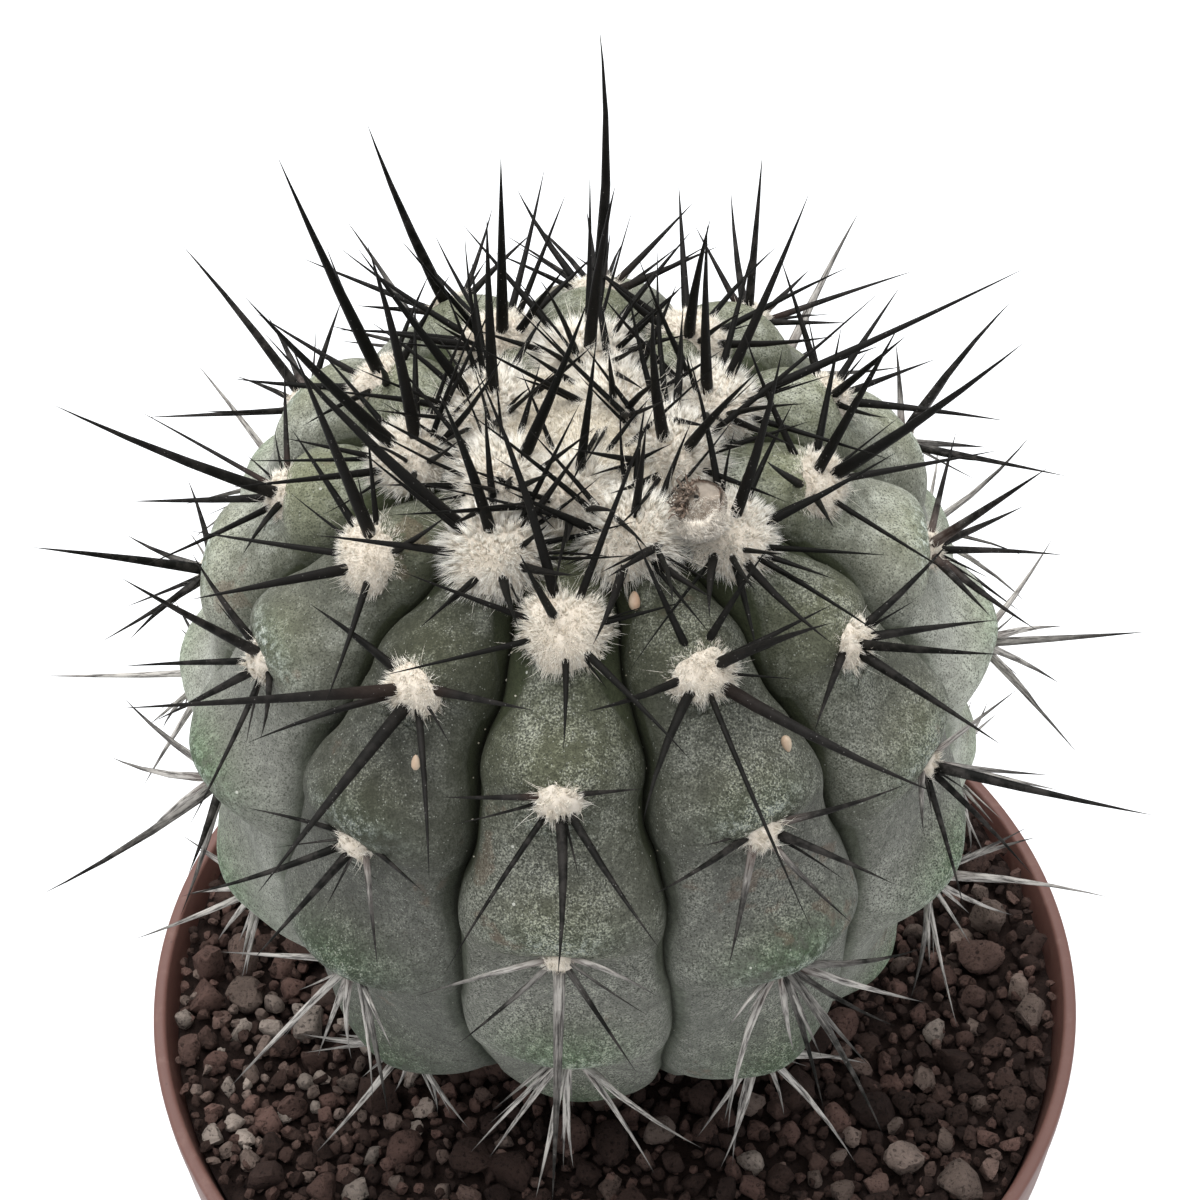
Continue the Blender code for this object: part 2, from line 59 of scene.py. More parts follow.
def unit(vectors):
    # each vector divided by its own length
    return vectors / (np.linalg.norm(vectors, axis=-1, keepdims=True) + 1e-12)


def evenly(count):
    # so many angles spread evenly round a turn
    return np.arange(count) / count * turn


def ripple(points, size, seed, waves=7):
    # a soft unevenness from -1 to 1: a few sine waves about size long that run in scattered directions
    rng = np.random.default_rng(seed)
    ways = unit(rng.normal(size=(waves, 3))) * rng.uniform(0.6, 1.5, (waves, 1)) * turn / size
    return np.sin(points @ ways.T + rng.uniform(0, turn, waves)).sum(-1) / waves ** 0.5 / 1.5


def meshOf(name, points, faces, values=None, vectors=None):
    # points in millimetres, faces as arrays of equal-sided faces, values and vectors one for each point
    mesh = bpy.data.meshes.new(name)
    points = np.asarray(points, np.float32).reshape(-1, 3) * mm
    corners = np.concatenate([np.asarray(f, np.int32).ravel() for f in faces])
    sides = np.concatenate([np.full(len(f), f.shape[1], np.int32) for f in faces])
    starts = np.concatenate([[0], np.cumsum(sides)[:-1]]).astype(np.int32)
    mesh.vertices.add(len(points))
    mesh.vertices.foreach_set("co", points.ravel())
    mesh.loops.add(len(corners))
    mesh.loops.foreach_set("vertex_index", corners)
    mesh.polygons.add(len(sides))
    mesh.polygons.foreach_set("loop_start", starts)
    mesh.polygons.foreach_set("use_smooth", np.ones(len(sides), bool))
    for key, value in (values or {}).items():
        stored = mesh.attributes.new(key, "FLOAT", "POINT")
        stored.data.foreach_set("value", np.asarray(value, np.float32).ravel())
    for key, value in (vectors or {}).items():
        stored = mesh.attributes.new(key, "FLOAT_VECTOR", "POINT")
        stored.data.foreach_set("vector", np.asarray(value, np.float32).ravel())
    mesh.update()
    mesh.validate()
    piece = bpy.data.objects.new(name, mesh)
    bpy.context.scene.collection.objects.link(piece)
    return piece


def ballFaces(rows, columns):
    # faces of a grid that is closed round and has one point at each pole: rings of rows - 2 between them
    ring = np.arange(columns)
    after = (ring + 1) % columns
    rings = rows - 2
    start = 1 + columns * np.arange(rings - 1)[:, None]
    quads = np.stack([start + ring, start + columns + ring, start + columns + after, start + after], -1)
    last = 1 + columns * rings
    top = np.stack([np.zeros(columns, int), 1 + ring, 1 + after], -1)
    foot = np.stack([np.full(columns, last), last - columns + after, last - columns + ring], -1)
    return [quads.reshape(-1, 4), np.concatenate([top, foot])]


def ballPoints(grid):
    # drops the repeats of a pole from a grid whose first and last rows are each one point
    flat = grid[1:-1].reshape(-1, *grid.shape[2:])
    return np.concatenate([grid[0, :1], flat, grid[-1, :1]])


def ringRound(first, second, sides, flat=1.0):
    # the corners of a cross-section in the plane of two directions, narrower along the second by flat
    corner = evenly(sides)
    return first[:, None] * np.cos(corner)[:, None] + second[:, None] * np.sin(corner)[:, None] * flat


def tubeFaces(rows, sides):
    # the quads between rings of points that follow one another along a tube
    loop = np.arange(sides)
    after = (loop + 1) % sides
    start = sides * np.arange(rows - 1)[:, None]
    quads = np.stack([start + loop, start + after, start + sides + after, start + sides + loop], -1)
    return quads.reshape(-1, 4)


def copies(faces, count, points):
    # the faces of one small shape, repeated for each copy of its points
    return [(f[None] + points * np.arange(count)[:, None, None]).reshape(-1, f.shape[1]) for f in faces]


def dress(piece, material, node):
    # gives a finished piece its material and body, and hides the imported node that it stands for
    piece.data.materials.clear()
    piece.data.materials.append(material)
    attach(piece, "root")
    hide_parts(node)
    print("made", piece.name, sum(len(p.vertices) - 2 for p in piece.data.polygons), "triangles")


# Shader maths


class Socket:
    # a node's output, so that arithmetic on it adds Math nodes
    def __init__(self, graph, link):
        self.graph = graph
        self.link = link

    def __add__(self, other):
        return self.graph.maths("ADD", self, other)

    def __radd__(self, other):
        return self.graph.maths("ADD", other, self)

    def __sub__(self, other):
        return self.graph.maths("SUBTRACT", self, other)

    def __rsub__(self, other):
        return self.graph.maths("SUBTRACT", other, self)

    def __mul__(self, other):
        return self.graph.maths("MULTIPLY", self, other)

    def __rmul__(self, other):
        return self.graph.maths("MULTIPLY", other, self)

    def __truediv__(self, other):
        return self.graph.maths("DIVIDE", self, other)

    def __rtruediv__(self, other):
        return self.graph.maths("DIVIDE", other, self)

    def over(self, low, high):
        # 0 below low and 1 above high, or the other way round where low is the larger
        sockets = {"Value": self, "From Min": low, "From Max": high}
        return self.graph.add("ShaderNodeMapRange", {"interpolation_type": "SMOOTHSTEP"}, sockets)


class Graph:
    # one material and the few ways in which nodes are added to it
    def __init__(self, name):
        self.material = bpy.data.materials.new(name)
        self.material.use_nodes = True
        self.tree = self.material.node_tree
        self.tree.nodes.clear()
        self.place = self.add("ShaderNodeTexCoord", out=3)

    def add(self, kind, settings=None, sockets=None, out=0):
        # a node of a kind, with its settings first and then the values or links of its sockets
        node = self.tree.nodes.new(kind)
        for key, value in (settings or {}).items():
            if key == "stops":
                ramp = node.color_ramp
                for position, _ in value[1:-1]:
                    ramp.elements.new(position)
                for element, (position, colour) in zip(ramp.elements, value):
                    element.position = position
                    element.color = (*colour, 1)
            else:
                setattr(node, key, value)
        for key, value in (sockets or {}).items():
            entry = node.inputs[key]
            if isinstance(value, Socket):
                self.tree.links.new(value.link, entry)
            elif entry.type == "RGBA" and len(value) == 3:
                entry.default_value = (*value, 1)
            else:
                entry.default_value = value
        return Socket(self, node.outputs[out]) if node.outputs else None

    def maths(self, operation, *terms):
        return self.add("ShaderNodeMath", {"operation": operation}, dict(enumerate(terms)))

    def read(self, name, out=2):
        # a stored value, or with out 1 a stored vector
        return self.add("ShaderNodeAttribute", {"attribute_name": name}, out=out)

    def noise(self, size, detail=3, rough=0.55, where=None):
        # soft noise whose spots are about size millimetres across
        where = where or self.place
        sockets = {"Vector": where, "Scale": 1 / (size * mm), "Detail": detail, "Roughness": rough}
        return self.add("ShaderNodeTexNoise", sockets=sockets)

    def dots(self, spacing, wide, density, soft=0.5):
        # round specks about spacing apart, of which the share given by density is drawn
        sockets = {"Vector": self.place, "Scale": 1 / (spacing * mm)}
        near = self.add("ShaderNodeTexVoronoi", sockets=sockets)
        cell = Socket(self, near.link.node.outputs[1])
        chance = self.add("ShaderNodeSeparateColor", sockets={"Color": cell})
        return near.over(wide, wide * (1 - soft)) * self.maths("LESS_THAN", chance, density)

    def mix(self, share, low, high):
        # the colour low where share is 0, and high where it is 1
        settings = {"data_type": "RGBA"}
        return self.add("ShaderNodeMix", settings, {0: share, 6: low, 7: high}, out=2)

    def scaled(self, colour, share):
        return self.add("ShaderNodeVectorMath", {"operation": "SCALE"}, {0: colour, "Scale": share})

    def ramp(self, share, *stops):
        return self.add("ShaderNodeValToRGB", {"stops": stops}, {"Fac": share})

    def bump(self, height, depth, under=None):
        # height from 0 to 1 stands for depth in millimetres
        sockets = {"Height": height, "Distance": depth * mm, "Strength": 1.0}
        if under:
            sockets["Normal"] = under
        return self.add("ShaderNodeBump", sockets=sockets)

    def finish(self, colour, roughness, normal=None, **constant):
        # constant holds sockets that are the same all over, with _ for the spaces in their names
        sockets = {"Base Color": colour, "Roughness": roughness}
        if normal:
            sockets["Normal"] = normal
        for key, value in constant.items():
            sockets[key.replace("_", " ")] = value
        shader = self.add("ShaderNodeBsdfPrincipled", sockets=sockets)
        self.add("ShaderNodeOutputMaterial", sockets={"Surface": shader})
        return self.material


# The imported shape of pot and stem, in millimetres and degrees

pot = {
    "height": 100.0,
    "rimRadius": 60.0,
    "footRadius": 43.0,
    "wall": 1.6,
    "floor": 2.5,
    "collarHeight": 11.0,
    "collarStep": 1.4,
    "gritBelowRim": 6.5,
    "drainHoles": 8,
    "drainRadius": 4.0,
    "drainCircle": 27.0,
    "steps": 192,
}

stem = {
    "ribs": 12,
    "ribTurn": -4.6,
    "radius": 45.6,
    "top": 92.0,
    "crownHeight": 40.4,
    "bellyHeight": 56.0,
    "crownBlunt": 0.85,
    "bellyBlunt": 0.78,
    "leanFront": 10.2,
    "leanSide": -0.6,
    "offset": (-1.4, 11.0),
    "furrowDepth": 8.0,
    "tubercleHeight": 2.0,
    "furrowSway": 0.07,
    "neckRadius": 15.0,
    "neckTipRadius": 9.0,
    "neckDepth": 30.0,
    "areoleSpacing": (0.25, 0.31, 0.036),  # areole n lies at a + b n + c n n radians from the crown
    "areoleStagger": 5 / 12,
    "areoleFirst": -0.55,
    "areoleRange": (-0.62, 4.2),
}


def place(points):
    # leans the stem to the front about the rim's middle and moves it to where it stands in the pot
    front, side = math.radians(stem["leanFront"]), math.radians(stem["leanSide"])
    x, y, z = points[..., 0], points[..., 1], points[..., 2]
    y, z = y * math.cos(front) - z * math.sin(front), y * math.sin(front) + z * math.cos(front)
    x, z = x * math.cos(side) + z * math.sin(side), z * math.cos(side) - x * math.sin(side)
    return np.stack([x + stem["offset"][0], y + stem["offset"][1], z + pot["height"]], -1)


def outline(angle):
    # radius and height of the smooth body under the ribs: two blunt half ellipses
    rise = np.cos(angle)
    blunt = np.where(rise > 0, stem["crownBlunt"], stem["bellyBlunt"])
    half = np.where(rise > 0, stem["crownHeight"], stem["bellyHeight"])
    return stem["radius"] * np.abs(np.sin(angle)) ** blunt, stem["top"] - stem["crownHeight"] + half * rise


def outlineNormal(angle):
    # the outward direction of that outline, in radius and height: a short chord of it, turned by a quarter
    r0, z0 = outline(angle - 1e-3)
    r1, z1 = outline(angle + 1e-3)
    length = np.hypot(r1 - r0, z1 - z0) + 1e-12
    return -(z1 - z0) / length, (r1 - r0) / length


def angleOfStep(step):
    # how far from the crown an areole lies, by its number down the rib
    a, b, c = stem["areoleSpacing"]
    return a + b * step + c * step * step


def stepOfAngle(angle):
    # the other way round, by solving the same square equation
    a, b, c = stem["areoleSpacing"]
    return (np.sqrt(np.maximum(b * b - 4 * c * (a - angle), 0)) - b) / (2 * c)


def stagger(rib):
    # how far a rib's areoles lie below those of the front rib, in steps
    phase = np.mod(stem["areoleStagger"] * rib + stem["areoleFirst"], 1.0)
    return np.where(phase > 0.6, phase - 1, phase)


def swelling(rib, angle):
    # 0 in the notch below an areole and 1 on the nose of the tubercle just above the next one
    along = np.mod(stepOfAngle(angle) - stagger(rib) - 0.12, 1.0)
    return 0.5 - 0.5 * np.cos(turn * along**2.5)


def turned(angle, bearing, offset):
    # a point of the body: its smooth outline, moved by offset along its normal, at a bearing round the axis
    radius, height = outline(angle)
    out, up = outlineNormal(angle)
    radius = np.maximum(radius + out * offset, 0)
    height = height + up * offset
    return place(np.stack([radius * np.sin(bearing), -radius * np.cos(bearing), height], -1))


def smoothBody(angle, around, offset=0.0):
    # the same by ribs round the body: 0 is the middle of the front rib
    bearing = math.radians(stem["ribTurn"]) + around * turn / stem["ribs"]
    return turned(angle, bearing, offset)


skin = {
    "rows": 190,
    "columnsPerRib": 40,
    "faceRise": 0.55,  # how far a tubercle's broad face stands over its flanks
    "notchDepth": 0.5,  # the dip below an areole
    "noseRise": 0.8,  # the round nose above it
    "lowNoseRise": 1.2,  # and how much more of it the old tubercles have
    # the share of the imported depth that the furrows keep, by the angle from the crown
    "furrowShare": ([0, 0.5, 0.85, 1.05, 1.25, 1.5, 2.4, 3.2], [0.9, 1.0, 1.0, 0.8, 0.5, 0.34, 0.34, 0.3]),
    "pitDepth": 0.5,  # the dip that an areole sits in
    "unevenness": 0.2,
    "flatness": 1.5,  # how much blunter across the old ribs are than the young ones
    "lowSwell": 0.9,  # and how much more their tubercles stand out
    # painted light and shade: each rib's colour is made lighter or darker for how the light falls on it
    "ribPaintedLight": {-4: 2.0, -3: 2.0, -2: 1.2, -1: 0.6, 0: 0.96, 1: 0.78, 2: 1.1, 3: 2.2, 4: 2.0},
    "ribChalk": {-2: 0.3, -1: 0.4, 0: 1.0, 1: 0.75, 2: 0.65},  # and in how many pale specks they carry
    "backPaintedLight": 1.6,  # the same two for every other rib
    "backChalk": 0.4,
    "trims": ([-4, -3, -2, -1, 1, 2, 3, 4, 5], [0, 0.5, 0.3, 0, 0, 0.5, 1.2, 1.0, 0.3]),  # slimmer ribs
    "lowTrim": 1.2,  # all ribs are slimmer below their widest place
    "frontTrim": 1.8,  # and the front one still more at its low end
}


def tubercle(angle, around):
    # rib, steps down it from its first areole, steps past the nearest one, and side from furrow to furrow
    rib = np.round(around)
    steps = stepOfAngle(angle) - stagger(rib)
    return rib, steps, np.mod(steps + 0.5, 1.0) - 0.5, 2 * (around - rib)


def faceOf(steps, side):
    # the broad face of a tubercle: on young ones a tear drop, narrow below its areole, wide at the next
    share = np.mod(steps, 1.0)
    narrow = (smooth(0.0, 0.07, share) - smooth(0.2, 0.85, share)) * (1 - 0.85 * smooth(0.55, 1.0, steps))
    wide = 0.96 - 0.42 * narrow
    return 1 - smooth(wide - 0.07, wide + 0.03, np.abs(side))


def mound(past, side, at, long, wide):
    # a bell curve on each tubercle: 1 at a place so many steps past its areole, falling off round it
    return np.exp(-(((past - at) / long) ** 2) - (side / wide) ** 2)


def noseLift(steps, past, side):
    # the round noses of the tubercles, each just above an areole
    young = smooth(0.2, 1.0, steps) * mound(past, side, -0.31, 0.13, 0.55)
    old = smooth(1.8, 2.6, steps) * mound(past, side, -0.2, 0.12, 0.5)
    return skin["noseRise"] * young + skin["lowNoseRise"] * old


def trim(angle, around):
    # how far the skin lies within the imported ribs
    slimmer = np.interp(around, *skin["trims"]) * smooth(0.4, 0.9, angle)
    return slimmer + skin["lowTrim"] * smooth(0.95, 1.35, angle)


def frontTrim(angle, around):
    # and how much further in it lies at the low end of the front rib
    return skin["frontTrim"] * np.exp(-((around / 0.42) ** 2)) * smooth(1.35, 1.75, angle)


def ribOffset(angle, around):
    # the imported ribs: round from furrow to furrow and blunter where they are old, swollen at each
    # tubercle, and drawn in by the trims
    rib, steps, _, side = tubercle(angle, around)
    across = np.abs(side)
    depth = stem["furrowDepth"] * np.sin(np.clip(angle, 0, math.pi)) ** 0.8
    depth = depth * np.interp(angle, *skin["furrowShare"])
    roundOff = 1 - np.sqrt(np.maximum(1 - across ** (2.1 + skin["flatness"] * smooth(0.7, 1.9, steps)), 0))
    swell = stem["tubercleHeight"] * (swelling(rib, angle) - 0.5) * (1 - across**2)
    swell = swell * (1 + skin["lowSwell"] * smooth(1.6, 2.8, steps) * (1 - smooth(3.4, 4.4, steps)))
    offset = swell * np.clip(angle / 0.5, 0.2, 1) - depth * roundOff
    return offset - trim(angle, around) - frontTrim(angle, around)


def skinRelief(steps, past, side):
    # raised faces, a notch under each areole that is wider where it is old, a nose and a pit for the wool
    fine = skin["faceRise"] * (faceOf(steps, side) - 0.6) * (1 - 0.5 * np.abs(side) ** 2)
    fine = fine - skin["notchDepth"] * mound(past, side, 0.1, 0.065, 0.3)
    fine = fine + noseLift(steps, past, side)
    fine = fine - skin["notchDepth"] * smooth(1.8, 2.6, steps) * mound(past, side, 0.1, 0.08, 0.5)
    return fine - skin["pitDepth"] * mound(past, side, 0.0, 0.045, 0.2)


def skinPoints(angle, around):
    # the smooth body moved out by the ribs, the finer relief and a soft unevenness, with furrows that
    # sway towards the rib that is slimmer there
    rib, steps, past, side = tubercle(angle, around)
    half = side / 2
    nearer = rib + np.where(half < 0, -1, 1)
    sway = stem["furrowSway"] * (swelling(rib, angle) - swelling(nearer, angle))
    sway = sway * np.interp(angle, [0.9, 1.4], [1, 0.5])
    bearing = math.radians(stem["ribTurn"]) + (rib + half * (1 + sway)) * turn / stem["ribs"]
    offset = ribOffset(angle, around)
    where = turned(angle, bearing, offset)
    uneven = skin["unevenness"] * (ripple(where, 17, 3) + 0.5 * ripple(where, 7, 4)) * (1 - side**4)
    strength = smooth(0.1, 0.5, angle) * (1 - 0.7 * smooth(2.0, 2.7, angle))
    return turned(angle, bearing, offset + strength * (skinRelief(steps, past, side) + uneven))


def crestSwell(angle, rib):
    # how far the crest of a packed rib stands over the smooth body, less near the pole
    return stem["tubercleHeight"] * (swelling(rib, angle) - 0.5) * np.clip(angle / 0.5, 0.2, 1)


def areoleFrames(angle, rib):
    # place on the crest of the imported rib, and the directions outward, up the rib and to the right
    small = 1e-3
    here = smoothBody(angle, rib, crestSwell(angle, rib))
    bearing = math.radians(stem["ribTurn"]) + rib * turn / stem["ribs"]
    up = unit(turned(angle - small, bearing, 0) - turned(angle + small, bearing, 0))
    right = unit(turned(angle, bearing + small, 0) - turned(angle, bearing - small, 0))
    return here, unit(np.cross(right, up)), up, right


def listAreoles():
    # rib and number of each areole that the stem carries
    low, high = stem["areoleRange"]
    pairs = [(rib, step) for rib in range(-5, 7) for step in range(-1, 5)]
    return [(rib, step) for rib, step in pairs if low < step + stagger(rib) < high]


areoles = np.array(listAreoles(), float)
areoleAge = areoles[:, 1] + stagger(areoles[:, 0])  # steps from the crown: 0 young, 4 old
areoleAngle = angleOfStep(areoleAge)
areolePlace, areoleOut, areoleUp, areoleRight = areoleFrames(areoleAngle, areoles[:, 0])


# Skin of the stem


def skinMaterial():
    g = Graph("chalky green skin")
    age, face, across, shade = g.read("age"), g.read("face"), g.read("across"), g.read("shade")
    notchShadeAndStain, patch, nose, bloom = g.read("notchShadeAndStain"), g.read("patch"), g.read("nose"), g.read("bloom")
    chalk = g.read("chalk")
    past = g.maths("FRACT", age + 0.5) - 0.5
    broad = g.noise(9, 4)
    mottle = g.noise(2.2, 6, 0.7)
    cloud = g.noise(0.75, 4, 0.65)
    grain = g.noise(0.2, 2, 0.6)
    rough = (grain - 0.5) * (1.0 + 4.0 * chalk * face * (mottle * 0.7 + broad * 0.5).over(0.42, 0.72))
    rough = rough + (cloud - 0.5) * (0.7 + 0.7 * chalk)
    # the broad faces and the darker flanks, from the young green skin to the old grey one; the flanks'
    # darkness is partly their own deeper green and partly painted shade
    base = g.ramp(
        age / 5,
        (0.0, (0.074, 0.080, 0.047)),
        (0.18, (0.077, 0.080, 0.057)),
        (0.34, (0.104, 0.105, 0.086)),
        (0.5, (0.172, 0.173, 0.15)),
        (1.0, (0.215, 0.228, 0.192)),
    )
    flank = g.ramp(
        age / 5,
        (0.0, (0.040, 0.047, 0.024)),
        (0.3, (0.036, 0.041, 0.024)),
        (0.5, (0.098, 0.104, 0.082)),
        (1.0, (0.165, 0.182, 0.145)),
    )
    colour = g.mix(face, flank, base)
    colour = g.mix(nose * (broad + 0.3), colour, (0.1, 0.103, 0.063))
    # dust, green patches above old areoles, pale bloom near the areoles and a painted highlight along the
    # edge of each face
    dusty = face * (broad * 1.1 + mottle * 0.9).over(0.85, 1.35)
    colour = g.mix(dusty * 0.5, colour, (0.235, 0.24, 0.21))
    green = patch * (mottle * 1.5 + broad * 0.7).over(0.62, 1.1)
    greens = g.mix(cloud.over(0.42, 0.64), (0.05, 0.092, 0.04), (0.12, 0.185, 0.105))
    colour = g.mix(green * 0.8, colour, greens)
    blue = bloom * (mottle * 1.2 + cloud * 0.8).over(0.7, 1.1)
    # painted highlight: a pale line where each broad face meets its flanks
    rim = (face * (1 - face) * 4).over(0.5, 1.0) * age.over(0.3, 0.8) * (1 - 0.6 * broad)
    colour = g.mix(rim * 0.35, colour, (0.2, 0.205, 0.175))
    blues = g.mix(cloud.over(0.44, 0.6), (0.075, 0.09, 0.07), (0.33, 0.36, 0.33))
    colour = g.mix(blue * 0.75, colour, blues)
    # painted light and shade: the colour is scaled by each rib's own lightening or darkening, and by random
    # mottling and grain
    colour = g.scaled(colour, shade * (0.5 + 1.0 * mottle) * (1 + 0.85 * rough))
    # painted shade with a brown stain in the notch under an areole, painted shade in fine creases, brown
    # stains, and painted shade towards the furrows and in their clefts
    # painted shade and a brown stain in the notch under each areole
    colour = g.mix(notchShadeAndStain * mottle.over(0.3, 0.6) * 0.85, colour, (0.04, 0.034, 0.018))
    creaseAt = 0.235 + across * across * 0.25 + (cloud - 0.5) * 0.05
    crease = g.maths("ABSOLUTE", past - creaseAt).over(0.011, 0.0) * across.over(0.42, 0.2)
    crease = crease * broad.over(0.48, 0.56) * age.over(0.6, 1.0)
    # painted shade in the fine creases
    colour = g.mix(crease * 0.7, colour, (0.03, 0.034, 0.02))
    stain = (g.noise(3.4, 3) * g.noise(14, 2)).over(0.36, 0.42) * face
    colour = g.mix(stain * 0.35, colour, (0.15, 0.09, 0.062))
    # painted shade: young ribs darker towards the furrows, and the furrows' clefts darker still
    colour = g.mix(across.over(0.55, 1.0) * age.over(3.2, 0.8) * 0.6, colour, (0.03, 0.034, 0.016))
    cleftShade = across.over(0.95, 1.0) * (0.35 + age.over(2.6, 1.2) * 0.5)
    colour = g.mix(cleftShade, colour, (0.014, 0.015, 0.008))
    # chalk: pale and dark grains in clusters, then powder, specks and a few larger flecks
    cluster = face * (mottle * 0.7 + cloud * 0.4 + broad * 0.5).over(0.7, 0.92) * (1 - across * 0.9)
    cluster = cluster * (0.55 + nose * 0.6 + bloom * 0.6) * chalk
    colour = g.mix(grain.over(0.53, 0.61) * cluster * 0.9, colour, (0.41, 0.42, 0.32))
    colour = g.mix(grain.over(0.45, 0.34) * face * 0.6, colour, (0.036, 0.039, 0.026))
    powder = g.dots(0.2, 0.42, cluster * 0.5 + face * 0.04)
    specks = g.dots(0.36, 0.34, cluster * 0.3 + 0.01)
    flecks = g.dots(1.9, 0.1, 0.06, 0.3)
    colour = g.mix(powder * 0.5, colour, (0.45, 0.46, 0.4))
    colour = g.mix(specks * 0.5, colour, (0.5, 0.51, 0.44))
    colour = g.mix(flecks * 0.75, colour, (0.6, 0.6, 0.53))
    normal = g.bump(mottle, 0.35)
    normal = g.bump(cloud, 0.16, normal)
    normal = g.bump(grain, 0.09, normal)
    normal = g.bump(specks - crease * 2, 0.07, normal)
    return g.finish(colour, 0.85, normal, Specular_IOR_Level=0.2)


def makeSkin():
    # a grid of angle from the crown by ribs around, its columns closer together towards the furrows
    perRib = skin["columnsPerRib"]
    share = np.linspace(-1, 1, perRib, endpoint=False)
    side = np.sign(share) * (1 - (1 - np.abs(share)) ** 1.5)
    around = (np.arange(-5, 7)[:, None] + side[None] / 2).ravel()
    rows = math.pi * np.linspace(0, 1, skin["rows"]) ** 1.1
    angle, around = np.meshgrid(rows, around, indexing="ij")
    grid = skinPoints(np.clip(angle, 1e-4, math.pi - 1e-4), around)
    rib, steps, past, side = tubercle(angle, around)
    old = smooth(1.5, 2.4, steps)
    first, last = -6, 7  # the ribs' numbers from left to right, with one to spare at each end
    # each rib's painted brightness, and how many pale specks it carries
    shades = np.array([skin["ribPaintedLight"].get(r, skin["backPaintedLight"]) for r in range(first, last + 1)])
    chalks = np.array([skin["ribChalk"].get(r, skin["backChalk"]) for r in range(first, last + 1)])
    share = np.mod(steps, 1.0)
    patches = np.where(np.abs(rib) < 2.5, 1.0, 0.4)  # the green patches are strongest in front
    values = {
        "age": np.clip(steps, 0, 5),
        "face": faceOf(steps, side),
        "across": np.abs(side),
        "shade": shades[rib.astype(int) - first],
        "chalk": chalks[rib.astype(int) - first],
        # painted shade and a brown stain in the notch under an areole
        "notchShadeAndStain": mound(past, side, 0.1, 0.055, 0.2) * smooth(0.5, 1.2, steps),
        "patch": mound(past, side, -0.2, 0.13, 0.5) * old * patches,
        "nose": smooth(0.4, 0.75, share) * np.exp(-((side / 0.55) ** 2)) * (1 - 0.5 * old),
        "bloom": mound(past, side, 0.17, 0.07, 0.3) * (1 - old)
        + mound(past, side, -0.13, 0.07, 0.4) * smooth(1.3, 1.9, steps),
    }
    points = ballPoints(grid)
    values = {key: ballPoints(value[..., None])[:, 0] for key, value in values.items()}
    faces = ballFaces(*grid.shape[:2])
    neck, neckFaces = neckPoints()
    start = len(points)
    filler = {"age": 5.0, "shade": 1.0}  # what the neck has, apart from zeros
    for key in values:
        values[key] = np.concatenate([values[key], np.full(len(neck), filler.get(key, 0.0))])
    points = np.concatenate([points, neck])
    faces = faces + [f + start for f in neckFaces]
    piece = meshOf("stemSkin", points, faces, values)
    dress(piece, skinMaterial(), "stem")


crumbs = {
    "count": 16,
    "steps": (0.5, 2.0),  # where they lie down the ribs
    "radius": 0.2,
}


def makeCrumbs():
    # tiny pale grains caught in the two furrows beside the front rib
    rng = np.random.default_rng(407)
    count = crumbs["count"]
    angle = angleOfStep(rng.uniform(*crumbs["steps"], count))
    around = rng.choice([-0.5, 0.5], count) * (1 + rng.normal(0, 0.09, count))
    where = skinPoints(angle, around)
    size = crumbs["radius"] * rng.uniform(0.25, 1, count) ** 1.5
    points, faces = shapeGrains(rng, *where.T, size, 2)
    tones = np.repeat(rng.uniform(0, 1, count), points.shape[1])
    values = {"tone": tones, "tip": np.full(len(tones), 0.6)}
    piece = meshOf("furrowCrumbs", points, copies([faces], count, points.shape[1]), values)
    dress(piece, woolMaterial("pale crumbs", (0.5, 0.47, 0.39), (0.26, 0.23, 0.17)), "stem")


def neckPoints():
    # the tapered root neck: a cone turned about the body's leaning axis, closed at both ends
    rows, columns = 24, 72
    share = np.linspace(0, 1, rows)
    body = stem["neckRadius"] + (stem["neckTipRadius"] - stem["neckRadius"]) * share
    radius = body * np.sqrt(np.clip(np.minimum(share, 1 - share) * 24, 0, 1))
    foot = stem["top"] - stem["crownHeight"] - stem["bellyHeight"]
    height = foot + 14 - stem["neckDepth"] * share
    bearing = evenly(columns)
    down = share[:, None]
    knobs = 1 + 0.04 * np.sin(5 * bearing + 9 * down) + 0.03 * np.sin(11 * bearing - 20 * down)
    reach = radius[:, None] * knobs
    tall = np.broadcast_to(height[:, None], reach.shape)
    grid = place(np.stack([reach * np.sin(bearing), -reach * np.cos(bearing), tall], -1))
    return ballPoints(grid), ballFaces(rows, columns)


# Wool of the areoles and felt of the crown

wool = {
    "radius": ([-0.6, 0.1, 0.5, 0.9, 1.45, 2.45, 3.2], [5.2, 5.0, 4.2, 3.2, 2.4, 1.6, 1.1]),  # by age
    "squat": 0.92,  # a tuft is a little less tall than wide
    "lasts": 2.7,  # the age at which an areole has lost its wool
    # name, least and largest age; the first two are white and the others cream
    "bands": {"Young": (-1, -0.1), "Crown": (-0.1, 0.3), "Upper": (0.3, 1.2), "Lower": (1.2, 2.7)},
    "fuzzPerArea": 58.0,  # short straight hairs per square millimetre
    "fuzzWidth": 0.032,
    "fuzzLength": (0.6, 0.95),  # in the middle of a tuft and at its edge
    "fuzzStray": 0.14,  # how much the hairs differ in direction
    "youngLength": 1.7,  # hairs of the youngest tufts are longer by this factor
    "locksPerArea": 4.0,  # the hairs gather into so many locks
    "strandPerArea": 3.0,  # longer bent hairs, which show at the edge and between the spines
    "strandWidth": 0.026,
    "strandLength": (1.0, 1.6),
    "strandStray": 0.25,
    "crownRadius": 11.0,
    "feltPerArea": 40,  # the thin felt over the crown, between the tufts
    "feltWidth": 0.034,
    "feltLength": (0.6, 1.2),
}


